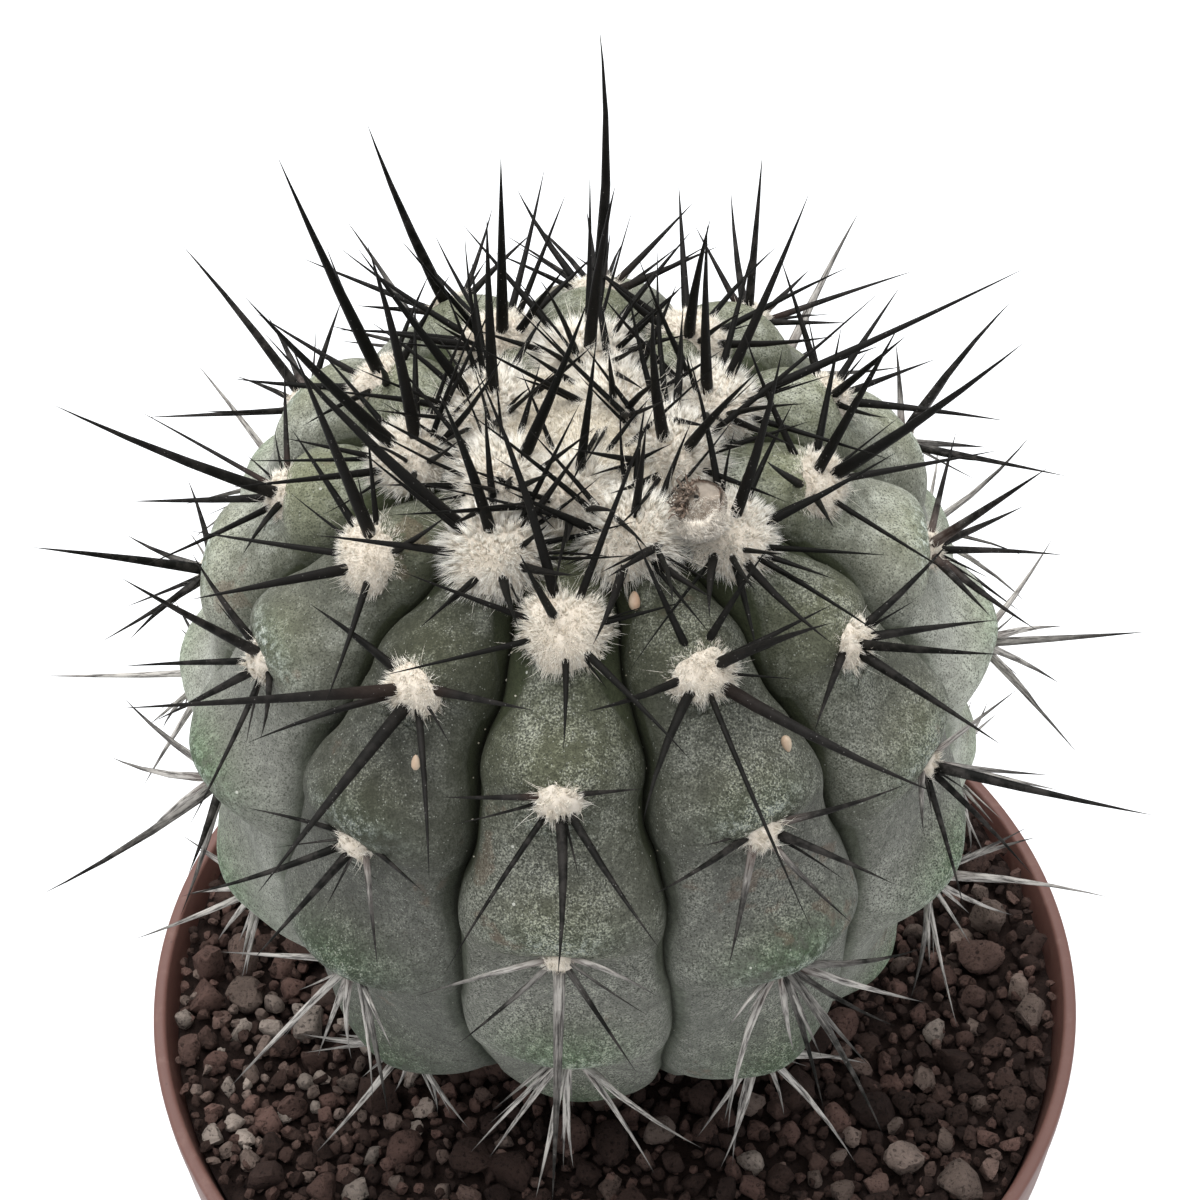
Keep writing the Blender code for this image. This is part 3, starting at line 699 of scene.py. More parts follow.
def woolMaterial(name, light, shade):
    g = Graph(name)
    tone, tip = g.read("tone"), g.read("tip")
    colour = g.mix((tone * 0.7 + g.noise(1.6, 3) * 0.6).over(0.2, 1.0), shade, light)
    # painted shade: each hair is darker towards its root, where it lies among the others
    colour = g.scaled(colour, 0.78 + 0.3 * tip)
    return g.finish(colour, 0.95, Specular_IOR_Level=0.15)


def tuftSpot(index, x, y, height):
    # a point of the tuft's cushion: x to the right and y up the rib from the areole, height outward.
    # It follows the smooth body under the crest, so it bridges the furrows beside a wide tuft.
    angle, rib = areoleAngle[index], areoles[index, 0]
    small = 1e-3
    perAngle = np.linalg.norm(smoothBody(angle + small, rib) - smoothBody(angle, rib), axis=-1) / small
    perRib = np.linalg.norm(smoothBody(angle, rib + small) - smoothBody(angle, rib), axis=-1) / small
    swell = crestSwell(angle, rib) - 0.7 * trim(angle, rib)
    return smoothBody(np.maximum(angle - y / perAngle, 0.01), rib + x / perRib, swell + height)


def cushionHeight(reach, radius):
    # crowned in the middle, the smaller the more, and sunk into the skin round its edge
    crowned = np.interp(radius, [2.4, 4.2], [0.52, 0.36])
    return radius * crowned * np.maximum(1 - reach**2.4, 0) ** 0.6 - 0.5 * reach**4


def tuftRadius(age):
    # by steps from the crown
    return np.interp(age, *wool["radius"])


def tuftEdge(index, bearing):
    # an uneven edge: the radius of the tuft by its bearing
    wave = np.sin(3 * bearing + index * 2.1) * 0.07 + np.sin(7 * bearing + index * 5.3) * 0.06
    return tuftRadius(areoleAge[index]) * (1 + wave)


def tuftPlace(index, reach, bearing):
    # to the right and up from the areole, at a share of the way to the tuft's edge
    edge = tuftEdge(index, bearing) * reach
    return edge * np.cos(bearing), edge * np.sin(bearing) * wool["squat"]


def makeCushions():
    # a low dome under each tuft, on a grid of reach and bearing whose last rings turn in below the skin
    rows, columns = 12, 30
    reach = np.concatenate([np.linspace(0, 1, 9), [0.98, 0.6, 0]])[:, None]
    sink = np.array([0.0] * 9 + [1.0, 1.4, 1.4])[:, None]
    bearing = evenly(columns)[None]
    points = []
    for index in np.flatnonzero(areoleAge < wool["lasts"]):
        radius = tuftRadius(areoleAge[index])
        x, y = tuftPlace(index, reach, bearing)
        height = cushionHeight(reach, radius) - sink
        bumps = 0.16 * np.sin(x * 3.1 + index) * np.sin(y * 3.7 + 2 * index) * (1 - reach)
        grid = tuftSpot(index, x, y, height + bumps)
        points.append(ballPoints(grid))
    # the rings run anticlockwise seen from outside, so the faces are turned round
    faces = [f[:, ::-1] for f in copies(ballFaces(rows, columns), len(points), len(points[0]))]
    total = np.concatenate(points)
    # painted shade: the cushion is coloured darker than the hairs over it, so the gaps between them look
    # shaded
    values = {"tone": np.full(len(total), 0.35), "tip": np.full(len(total), 0.15)}
    piece = meshOf("woolCushions", total, faces, values)
    dress(piece, woolMaterial("shaded woolly cushion", (0.9, 0.83, 0.73), (0.7, 0.61, 0.5)), "stem")


def fuzzMesh(name, roots, aims, lengths, widths, tones):
    # each hair is a straight three-sided spike
    count = len(roots)
    first = unit(np.cross(aims, np.roll(aims, 1, axis=1) + 0.3))
    second = np.cross(aims, first)
    ring = ringRound(first, second, 3)
    tip = roots + aims * lengths[:, None]
    points = np.concatenate([roots[:, None] + ring * widths[:, None, None], tip[:, None]], 1)
    faces = np.array([(0, 1, 3), (1, 2, 3), (2, 0, 3), (2, 1, 0)])
    values = {"tone": np.repeat(tones, 4), "tip": np.tile([0.0, 0, 0, 1.0], count)}
    return meshOf(name, points, copies([faces], count, 4), values)


def strandMesh(name, roots, aims, lengths, widths, tones, rng):
    # each hair is a three-sided prism of two segments, bent to one side, that runs out to a point
    count = len(roots)
    bends = rng.normal(0, 0.55, (count, 3))
    spread = unit(np.cross(aims, unit(bends + 0.01)))
    other = np.cross(aims, spread)
    ring = ringRound(spread, other, 3)
    middle = roots + aims * lengths[:, None] * 0.5 + bends * lengths[:, None] * 0.14
    tip = roots + aims * lengths[:, None] + bends * lengths[:, None] * 0.5
    wide = widths[:, None, None]
    low, high = roots[:, None] + ring * wide, middle[:, None] + ring * wide * 0.8
    points = np.concatenate([low, high, tip[:, None]], 1)
    ends = np.array([(3, 4, 6), (4, 5, 6), (5, 3, 6), (2, 1, 0)])
    values = {"tone": np.repeat(tones, 7), "tip": np.tile([0.0, 0, 0, 0.6, 0.6, 0.6, 1.0], count)}
    return meshOf(name, points, copies([tubeFaces(2, 3), ends], count, 7), values)


def tuftHairs(index, rng, perArea, span, width, stray):
    # roots spread over a cushion, with hairs that lean outward from its middle and gather into locks
    age = areoleAge[index]
    radius = tuftRadius(age)
    fresh = 1 - 0.35 * smooth(1.2, 2.6, age)  # old tufts are thinner
    count = int(math.pi * radius**2 * perArea * fresh)
    reach = np.sqrt(rng.uniform(0, 1.06, count))
    bearing = rng.uniform(0, turn, count)
    x, y = tuftPlace(index, reach, bearing)
    root = tuftSpot(index, x, y, cushionHeight(np.minimum(reach, 1), radius) - 0.1)
    ragged = smooth(0.9, 1.5, age)  # and gather into fewer, coarser locks
    locks = max(8, int(math.pi * radius**2 * wool["locksPerArea"] * (1 - 0.6 * ragged)))
    lockReach = np.sqrt(rng.uniform(0, 1.15, locks))
    lockX, lockY = tuftPlace(index, lockReach, rng.uniform(0, turn, locks))
    nearest = np.argmin((x[:, None] - lockX) ** 2 + (y[:, None] - lockY) ** 2, 1)
    out, up, right = areoleOut[index], areoleUp[index], areoleRight[index]
    lean = np.clip(reach, 0, 1)[:, None] ** 1.4
    outward = right * np.cos(bearing)[:, None] + up * np.sin(bearing)[:, None]
    toLock = right * (lockX[nearest] - x)[:, None] + up * (lockY[nearest] - y)[:, None]
    astray = rng.normal(0, stray, (count, 3))
    aim = unit(out * (1.05 - 0.75 * lean) + outward * 1.2 * lean + toLock * (0.9 + 0.9 * ragged) + astray)
    length = (span[0] + (span[1] - span[0]) * reach) * rng.uniform(0.7, 1.2, count) * (radius / 4.3) ** 0.5
    length = length * rng.uniform(0.65, 1.35, locks)[nearest]
    length = length * (1 + (wool["youngLength"] - 1) * (1 - smooth(-0.2, 0.5, age))) * (1 + 0.5 * ragged)
    lockTone = rng.normal(0, 0.16, locks)[nearest]
    tone = np.clip(rng.normal(0.6, 0.12, count) + lockTone + 0.3 * (lean[:, 0] - 0.4), 0, 1)
    return root, aim, length, np.full(count, width), tone


def coat(indices, rng, kind):
    # the hairs of one kind, fuzz or strand, of several tufts
    values = [wool[kind + key] for key in ("PerArea", "Length", "Width", "Stray")]
    tufts = [tuftHairs(index, rng, *values) for index in indices]
    return list(map(np.concatenate, zip(*tufts)))


def crownHairs(rng):
    # thin grey felt over the pole, between the tufts, thicker in some places
    radius = wool["crownRadius"]
    count = int(math.pi * radius**2 * wool["feltPerArea"])
    reach = np.sqrt(rng.uniform(0, 1, count)) * radius
    bearing = rng.uniform(0, turn, count)
    angle = crownAngle(reach)
    root = turned(angle, bearing, crownLift(reach) - 0.1)
    out = unit(turned(angle, bearing, 2.0) - turned(angle, bearing, 0.0))
    lock = np.stack([ripple(root, 1.4, 31), ripple(root, 1.7, 32), np.zeros(count)], -1)
    aim = unit(out + 0.7 * lock + rng.normal(0, 0.25, (count, 3)))
    tone = np.clip(0.45 + 0.3 * ripple(root, 3.5, 33) + rng.normal(0, 0.12, count), 0, 1)
    return root, aim, rng.uniform(*wool["feltLength"], count), np.full(count, wool["feltWidth"]), tone


def crownAngle(reach):
    # the angle from the crown at which the smooth body is this wide: outline turned round
    return np.arcsin(np.clip(reach / stem["radius"], 0, 1) ** (1 / stem["crownBlunt"]))


def crownLift(reach):
    # the height of the felt: a blunt dome whose edge dips into the skin
    return 2.0 * np.maximum(1 - (reach / wool["crownRadius"]) ** 2, 0) ** 0.6 - 0.3


def makeCrownFelt():
    # the bed of the felt over the crown: that dome on a grid of reach and bearing, turned in below its edge
    rows, columns = 16, 72
    reach = np.concatenate([np.linspace(0, 1, 13), [0.97, 0.6, 0]])[:, None] * wool["crownRadius"]
    sink = np.array([0.0] * 13 + [1.2, 2.0, 2.0])[:, None]
    bearing = evenly(columns)[None]
    angle = np.maximum(crownAngle(reach), 1e-4)
    bumps = 0.25 * np.sin(reach * 1.9 + 3 * bearing) * np.sin(4 * bearing + reach)
    grid = turned(angle, bearing, crownLift(reach) - sink + bumps * (reach / wool["crownRadius"]))
    points = ballPoints(grid)
    values = {"tone": np.full(len(points), 0.3), "tip": np.full(len(points), 0.1)}
    piece = meshOf("crownFelt", points, ballFaces(rows, columns), values)
    dress(piece, woolMaterial("crown felt", (0.9, 0.83, 0.7), (0.6, 0.53, 0.41)), "stem")


def makeWool():
    # straight fuzz in bands of age, longer bent strands, and felt between the tufts of the crown
    rng = np.random.default_rng(1811)
    white = woolMaterial("white wool", (1.0, 0.97, 0.89), (0.93, 0.86, 0.74))
    cream = woolMaterial("cream wool", (0.97, 0.92, 0.82), (0.84, 0.75, 0.61))
    for name, (low, high) in wool["bands"].items():
        chosen = np.flatnonzero((areoleAge >= low) & (areoleAge < high))
        hairs = fuzzMesh("wool" + name, *coat(chosen, rng, "fuzz"))
        dress(hairs, white if low < 0 else cream, "stem")
    strands = coat(np.flatnonzero(areoleAge < wool["lasts"]), rng, "strand")
    dress(strandMesh("woolStrands", *strands, rng), cream, "stem")
    grey = woolMaterial("grey felt", (0.98, 0.93, 0.83), (0.72, 0.65, 0.53))
    dress(fuzzMesh("woolFelt", *crownHairs(rng)), grey, "stem")


# Spines

spineSet = {
    "central": (0, 14, 20),  # clock angle from straight up the rib, lean from the normal, length
    "radials": (  # the same for each spine round it
        (-38, 50, 15),
        (36, 52, 14),
        (-82, 64, 13),
        (80, 62, 13),
        (-134, 60, 17),
        (132, 58, 17),
        (180, 56, 14),
    ),
    "centralThickness": 0.76,
    "slender": ([10, 24], [0.66, 1.0]),  # a shorter central spine is thinner, by its length
    "radialThickness": (0.36, 0.58),
    "rootDepth": 1.2,  # how far a spine runs on below its foot, along itself
    "footLift": ([1.2, 1.9, 2.5, 2.8], [0.0, -0.5, -0.9, -1.4]),  # its foot over the skin, by age
    "footRing": 0.62,  # how far the feet stand from the middle, as a share of the tuft
    "rings": (0.0, 0.2, 0.45, 0.7, 0.88),  # where its rings lie along it
    "sides": 8,
    "fineEach": 2,  # thin short bristles round each areole
    "fineLength": (4.0, 9.5),
    "fineThickness": 0.22,
    "crownExtra": 7,  # more of them, crossing one another, among the youngest areoles
    "crownLength": (8.0, 19.0),
    "crownThickness": (0.24, 0.44),
    "lowExtra": 4,  # pale ones that fan out over the grit from the oldest areoles
    "lowLength": (9.0, 17.0),
    "lowThickness": (0.4, 0.6),
    "swings": (0, 25, -25, 50, -50, 75, -75, 110, -110),  # tried in turn where a spine meets something
    "overGrit": -2.0,  # the least height of a tip over the rim, where it ends inside the pot
    "overRim": 3.0,  # and where it ends over the rim or beyond it
    "rimZone": 0.86,  # which begins at this share of the rim's radius
    "podClearance": 5.2,  # how far a spine's middle line stays from the pod's middle
    "podHeight": 4.5,  # and how high that lies over the crest
}

# The longest spines and those of the front areoles, by rib and step: clock angle, lean and length
leadingSpines = {
    (-5, 0): [(-10, 20, 25)],
    (-5, 1): [(20, 33, 26)],
    (-4, 0): [(-16, 10, 25), (155, 20, 22)],
    (-4, 1): [(15, 15, 30)],
    (-3, 0): [(-24, 12, 26), (180, 14, 25)],
    (-3, 1): [(100, 14, 28)],
    (-3, 2): [(50, 33, 22)],
    (-3, 3): [(-160, 10, 21)],
    (-2, 0): [(4, 28, 22)],
    (-2, 1): [(-33, 21, 26), (171, 42, 18), (118, 66, 18)],
    (-2, 2): [(-20, 18, 20), (-143, 57, 14)],
    (-2, 3): [(85, 22, 22)],
    (-1, 0): [(-44, 12, 22), (-85, 45, 28), (96, 48, 12)],
    (-1, 1): [(-130, 30, 30), (170, 45, 26), (138, 70, 18), (-25, 40, 18)],
    (-1, 2): [(-168, 45, 14), (115, 50, 13)],
    (-1, 3): [(-150, 42, 18)],
    (-1, 4): [(150, 65, 10)],
    (0, -1): [(29, 14, 18)],
    (0, 0): [(-22, 50, 25), (25, 50, 22), (-45, 16, 14), (-112, 68, 16), (138, 62, 18), (176, 60, 12)],
    (0, 1): [(-86, 65, 10), (75, 60, 8), (-147, 58, 18), (175, 45, 17), (137, 52, 17)],
    (0, 2): [(178, 40, 22)],
    (1, 0): [(31, 9, 15), (-68, 46, 13)],
    (1, 1): [(97, 22, 18), (152, 46, 26), (-172, 66, 26), (-128, 60, 17), (-15, 50, 16)],
    (1, 2): [(125, 40, 13), (158, 50, 11), (-128, 55, 13)],
    (1, 3): [(172, 25, 18)],
    (1, 4): [(150, 45, 20)],
    (2, 0): [(46, 18, 22), (-145, 55, 17), (-125, 66, 14)],
    (2, 1): [(-170, 15, 18), (-160, 42, 18)],
    (2, 2): [(142, 20, 22)],
    (2, 3): [(60, 24, 18)],
    (3, 0): [(-16, 11, 22), (-143, 19, 18), (150, 50, 23)],
    (3, 1): [(20, 9, 22), (170, 16, 26), (160, 70, 18)],
    (3, 2): [(-20, 20, 18)],
    (3, 3): [(-38, 26, 18)],
    (4, 0): [(-3, 16, 25), (145, 25, 22), (-165, 55, 31)],
    (4, 1): [(6, 42, 21), (-55, 30, 15)],
    (5, 0): [(-20, 32, 22)],
    (6, 0): [(-28, 16, 25)],
    (6, 1): [(-5, 15, 30)],
}


def wobble(rib, step, item, low, high):
    # a value from low to high that is scattered but always the same for one item of one areole
    return low + (high - low) * (math.sin(12.9898 * rib + 78.233 * step + 37.719 * item) * 43758.5453 % 1)


def spinesAt(rib, step):
    # clock angle, lean, length and thickness of each spine of one areole
    leading = leadingSpines.get((rib, step), [])
    thick, (thin, stout) = spineSet["centralThickness"], spineSet["radialThickness"]
    age = step + float(stagger(rib))
    young = np.interp(age, [-0.6, 0.3, 2.2, 4], [0.62, 1, 0.95, 0.7])
    chosen = []
    for clock, lean, length in leading:
        stoutness = thick * np.interp(length, *spineSet["slender"])
        if lean >= 50:
            stoutness = wobble(rib, step, clock, thin, stout)
        chosen.append((clock, lean, length, stoutness))
    if not any(lean < 50 for _, lean, _ in leading):
        clock, lean, length = spineSet["central"]
        clock += wobble(rib, step, 0, -70, 70)
        lean += wobble(rib, step, 1, -8, 12)
        length *= young * wobble(rib, step, 2, 0.85, 1.12)
        chosen.append((clock, lean, length, thick * np.interp(length, *spineSet["slender"])))
    for i, (clock, lean, length) in enumerate(spineSet["radials"], 1):
        clock += wobble(rib, step, 3 * i, -10, 10)
        lean += wobble(rib, step, 3 * i + 1, -9, 7)
        length *= young * wobble(rib, step, 3 * i + 2, 0.75, 1.15)
        if not [c for c, l, _ in leading if l >= 40 and abs((clock - c + 180) % 360 - 180) < 32]:
            chosen.append((clock, lean, length, wobble(rib, step, 3 * i + 40, thin, stout)))
    for i in range(spineSet["fineEach"]):
        clock = wobble(rib, step, 60 + i, 60, 300)
        length = wobble(rib, step, 70 + i, *spineSet["fineLength"])
        chosen.append((clock, wobble(rib, step, 80 + i, 52, 76), length, spineSet["fineThickness"]))
    if age > 0.9:
        # an old areole has lost the short spines that would lie against the tubercle above it
        chosen = [(c, l, m, w) for c, l, m, w in chosen if abs((c + 180) % 360 - 180) > 62 or l < 36]
    if age > 2.8:
        for i in range(spineSet["lowExtra"]):
            lean = wobble(rib, step, 140 + i, 55, 80)
            length = wobble(rib, step, 150 + i, *spineSet["lowLength"])
            thickness = wobble(rib, step, 160 + i, *spineSet["lowThickness"])
            chosen.append((wobble(rib, step, 130 + i, 75, 285), lean, length, thickness))
    if age < 0.4:
        for i in range(spineSet["crownExtra"]):
            lean = wobble(rib, step, 100 + i, 25, 78)
            length = wobble(rib, step, 110 + i, *spineSet["crownLength"])
            thickness = wobble(rib, step, 120 + i, *spineSet["crownThickness"])
            chosen.append((wobble(rib, step, 90 + i, -180, 180), lean, length, thickness))
    return chosen


def keepClear(root, aim, length):
    # turns a spine up until its tip passes over the grit and the rim
    for _ in range(40):
        tip = root + aim * length
        reach = math.hypot(tip[0], tip[1])
        over = spineSet["overRim"] if reach > spineSet["rimZone"] * pot["rimRadius"] else spineSet["overGrit"]
        if tip[2] > pot["height"] + over:
            return tip
        aim = unit(aim + np.array([0, 0, 0.08]))
    return None


def distanceToSegment(point, start, end):
    # to the nearest place of the straight line from start to end
    along = end - start
    share = np.clip((point - start) @ along / (along @ along), 0, 1)
    return np.linalg.norm(point - start - along * share)


def listSpines():
    # root, tip, thickness and age of each spine. One that would run through the pod or into the grit
    # swings aside, and is left out where no swing is clear
    podHere, podOut, _, _ = areoleFrames(*pod["seat"])
    podMiddle = podHere + podOut * spineSet["podHeight"]
    rows = []
    for index, (rib, step) in enumerate(areoles.astype(int)):
        here, out, up, right = areolePlace[index], areoleOut[index], areoleUp[index], areoleRight[index]
        lift = np.interp(areoleAge[index], *spineSet["footLift"]) - frontTrim(areoleAngle[index], rib)
        for clock, lean, length, thickness in spinesAt(rib, step):
            ring = tuftRadius(areoleAge[index]) * spineSet["footRing"] * min(1, lean / 50)
            flat = math.radians(clock)
            foot = here + (up * math.cos(flat) + right * math.sin(flat)) * ring
            for swing in spineSet["swings"]:
                flat, tilt = math.radians(clock + swing), math.radians(lean)
                aim = out * math.cos(tilt) + (up * math.cos(flat) + right * math.sin(flat)) * math.sin(tilt)
                tip = keepClear(foot, aim, length)
                root = foot - aim * spineSet["rootDepth"] + out * lift
                if tip is not None and distanceToSegment(podMiddle, root, tip) > spineSet["podClearance"]:
                    rows.append((*root, *tip, thickness, areoleAge[index]))
                    break
    return np.array(rows)


def spineMaterial():
    g = Graph("horny spine")
    along, age, tone = g.read("along"), g.read("age"), g.read("tone")
    fine = g.noise(0.4, 4, 0.7)
    fibre = g.noise(0.3, 4, 0.7, where=g.read("fibre", 1))
    patchy = g.noise(1.6, 4, 0.65)
    worn = (age * 0.33 + tone * 0.4 - along * 0.3 + patchy * 0.3).over(0.91, 1.27)
    black = g.mix(tone, (0.004, 0.004, 0.003), (0.010, 0.009, 0.008))
    grey = g.mix(fibre.over(0.34, 0.6), (0.07, 0.064, 0.06), (0.52, 0.49, 0.45))
    grey = g.mix(along.over(0.5, 1.0) * 0.8, grey, (0.09, 0.084, 0.08))
    colour = g.mix(worn, black, grey)
    dusty = (age / 2).over(0.2, 1.0) * patchy.over(0.42, 0.62) * 0.5
    colour = g.mix(dusty * (1 - worn), colour, (0.05, 0.044, 0.04))
    base = along.over(0.4, 0.08) * tone.over(0.65, 0.95) * (age / 2).over(0.3, 0.9) * 0.5
    colour = g.mix(base, colour, (0.11, 0.058, 0.044))
    dust = g.dots(0.24, 0.3, 0.04 + 0.16 * patchy.over(0.5, 0.8))
    colour = g.mix(dust * 0.3, colour, (0.4, 0.38, 0.36))
    normal = g.bump(fine, 0.05)
    return g.finish(colour, 0.6 + 0.3 * worn, normal, Specular_IOR_Level=0.1)


def makeSpines():
    # each spine is a closed round needle whose rings shrink as 1 - share ** 1.5 along a slightly bent line
    rows = listSpines()
    root, tip, thickness, age = rows[:, :3], rows[:, 3:6], rows[:, 6], rows[:, 7]
    rng = np.random.default_rng(733)
    count, sides = len(rows), spineSet["sides"]
    share = np.array(spineSet["rings"])
    axis = unit(tip - root)
    length = np.linalg.norm(tip - root, axis=1)
    first = unit(np.cross(axis, rng.normal(size=(count, 3))))
    second = np.cross(axis, first)
    bend = first * (length * rng.uniform(0.0, 0.035, count) * (1 + smooth(2.2, 3.2, age)))[:, None]
    corner = evenly(sides)
    ring = ringRound(first, second, sides, 0.9)
    line = root[:, None] + (tip - root)[:, None] * share[:, None]
    line = line + bend[:, None] * (4 * share * (1 - share))[:, None]
    slim = np.minimum(thickness, 0.9 - 0.35 * smooth(1.9, 3.0, age))  # none of the old ones is stout
    radius = slim[:, None] * (1 - share**1.5) * (1 - 0.12 * share)
    wide = line[:, :, None] + ring[:, None] * radius[:, :, None, None]
    points = np.concatenate([wide.reshape(count, -1, 3), tip[:, None]], 1)
    each = points.shape[1]
    loop = np.arange(sides)
    after = (loop + 1) % sides
    last = sides * (len(share) - 1)
    ends = np.stack([last + loop, last + after, np.full(sides, each - 1)], -1)
    values = {
        "along": np.tile(np.append(np.repeat(share, sides), 1.0), count),
        "age": np.repeat(age, each),
        "tone": np.repeat(rng.uniform(0, 1, count), each),
    }
    # a place along and across the spine, for streaks that run its way
    lengthwise = np.tile(share, (count, 1)) * length[:, None] * 0.1 + 10 * rng.uniform(0, 1, (count, 1))
    fibre = np.concatenate(
        [
            np.cos(corner) * radius[..., None],
            np.sin(corner) * radius[..., None],
            np.repeat(lengthwise[..., None], sides, -1),
        ],
        -1,
    ).reshape(count, len(share), 3, sides)
    fibre = fibre.transpose(0, 1, 3, 2).reshape(count, -1, 3)
    fibre = np.concatenate([fibre, fibre[:, -1:] * (0, 0, 1) + length[:, None, None] * (0, 0, 0.012)], 1)
    faces = copies([tubeFaces(len(share), sides), ends, loop[None, ::-1]], count, each)
    piece = meshOf("spines", points, faces, values, {"fibre": fibre * mm})
    dress(piece, spineMaterial(), "stem")


# Pot


def potMaterial():
    g = Graph("terracotta plastic")
    broad = g.noise(24, 3)
    fine = g.noise(0.9, 5, 0.6)
    dust = g.noise(3.2, 6, 0.7)
    colour = g.mix(broad, (0.125, 0.054, 0.043), (0.165, 0.078, 0.061))
    colour = g.mix(dust.over(0.5, 0.75) * 0.35, colour, (0.26, 0.16, 0.13))
    colour = g.mix(g.dots(1.2, 0.2, 0.12) * 0.5, colour, (0.07, 0.034, 0.027))
    normal = g.bump(fine, 0.03)
    return g.finish(colour, 0.42 + 0.25 * dust, normal, Specular_IOR_Level=0.45)


def rounded(path, radius, steps=5):
    # each inner corner of a path of (r, z) points becomes a small curve from one side to the other
    points = [np.array(path[0], float)]
    for before, corner, after in zip(path, path[1:], path[2:]):
        before, corner, after = (np.array(p, float) for p in (before, corner, after))
        reach = min(radius, 0.45 * np.linalg.norm(before - corner), 0.45 * np.linalg.norm(after - corner))
        start = corner + unit(before - corner) * reach
        end = corner + unit(after - corner) * reach
        for share in np.linspace(0, 1, steps):
            points.append((1 - share) ** 2 * start + 2 * share * (1 - share) * corner + share**2 * end)
    points.append(np.array(path[-1], float))
    return np.array(points)


def wallRadius(height):
    # outer radius of the tapered wall at a height
    shoulder = pot["height"] - pot["collarHeight"]
    wallTop = pot["rimRadius"] - pot["collarStep"]
    return pot["footRadius"] + (wallTop - pot["footRadius"]) * height / shoulder


def innerRadius(height):
    # inner radius of the wall at a height
    return min(wallRadius(height), pot["rimRadius"]) - pot["wall"] - 0.2 * pot["collarStep"]


def makePot():
    # the profile of foot, wall, collar, lip and floor, its corners rounded, turned round the pot's axis
    rim, top, floor = pot["rimRadius"], pot["height"], pot["floor"]
    shoulder = top - pot["collarHeight"]
    path = [
        (0, 0.5),  # the middle of the underside is a little hollow
        (pot["footRadius"] - 4.5, 0.5),
        (pot["footRadius"] - 4.0, 0.0),
        (pot["footRadius"], 0.0),
        (wallRadius(2.2), 2.2),
        (wallRadius(shoulder - 4.2), shoulder - 4.2),  # a fine bead below the collar
        (wallRadius(shoulder - 3.6) + 0.45, shoulder - 3.6),
        (wallRadius(shoulder - 2.9), shoulder - 2.9),
        (wallRadius(shoulder) - 0.2, shoulder - 0.4),
        (rim - 0.5, shoulder),
        (rim - 0.1, top - 3.2),
        (rim, top - 2.6),
        (rim, top),
        (rim - pot["wall"], top),
        (innerRadius(shoulder), shoulder),
        (innerRadius(floor), floor),
        (0, floor),
    ]
    profile = rounded(path, 0.55)
    bearing = evenly(pot["steps"])
    reach, tall = profile[:, :1], profile[:, 1:]
    grid = np.stack([reach * np.cos(bearing), reach * np.sin(bearing), tall + 0 * bearing], -1)
    faces = [f[:, ::-1] for f in ballFaces(len(profile), pot["steps"])]
    wall = meshOf("potWall", ballPoints(grid), faces)
    cutter = drainCutter()
    cut = wall.modifiers.new("drain holes", "BOOLEAN")
    cut.operation = "DIFFERENCE"
    cut.object = cutter
    graph = bpy.context.evaluated_depsgraph_get()
    wall.data = bpy.data.meshes.new_from_object(wall.evaluated_get(graph))
    wall.modifiers.clear()
    bpy.data.objects.remove(cutter)
    wall.data.set_sharp_from_angle(angle=math.radians(50))
    dress(wall, potMaterial(), "pot")


def drainCutter():
    # short upright cylinders on a circle round the floor's middle
    sides, count = 40, pot["drainHoles"]
    corner = evenly(sides)
    middle = (np.arange(count) + 0.5) / count * turn
    x = pot["drainCircle"] * np.cos(middle)[:, None] + pot["drainRadius"] * np.cos(corner)
    y = pot["drainCircle"] * np.sin(middle)[:, None] + pot["drainRadius"] * np.sin(corner)
    points = np.stack([np.stack([x, y, x * 0 + z], -1) for z in (-4.0, 8.0)], 1)
    loop = np.arange(sides)
    caps = np.stack([loop[::-1], sides + loop])
    return meshOf("drain cutter", points, copies([tubeFaces(2, sides), caps], count, 2 * sides))


# Potting grit

grit = {
    # faces along a grain's side, tries, least and largest radius, and how far the middles stand over
    # the bed, in radii
    "sizes": {
        "Stones": (4, 150, 2.4, 3.8, 0.35),
        "Grains": (3, 4200, 1.3, 2.2, 0.25),
        "Crumbs": (2, 17000, 0.75, 1.2, 0.4),
    },
    "bedBelowTop": 0.8,  # the grains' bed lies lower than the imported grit's top
    "heightJitter": (-0.35, 0.25),  # also in radii
    "stemGap": 0.5,  # what is left free between a grain and the stem over it
    "closeness": 0.74,  # how near the middles lie, as a share of the radii
    "bumpiness": 0.22,
    "cuts": 9,  # flat sides of a grain
    "wallPile": 4.7,  # how much higher the grains lie against the pot
    "wallPileWidth": 17.0,
    "paleSpot": (-48.0, -16.0, 20.0),  # middle and reach of a patch of paler grains
}


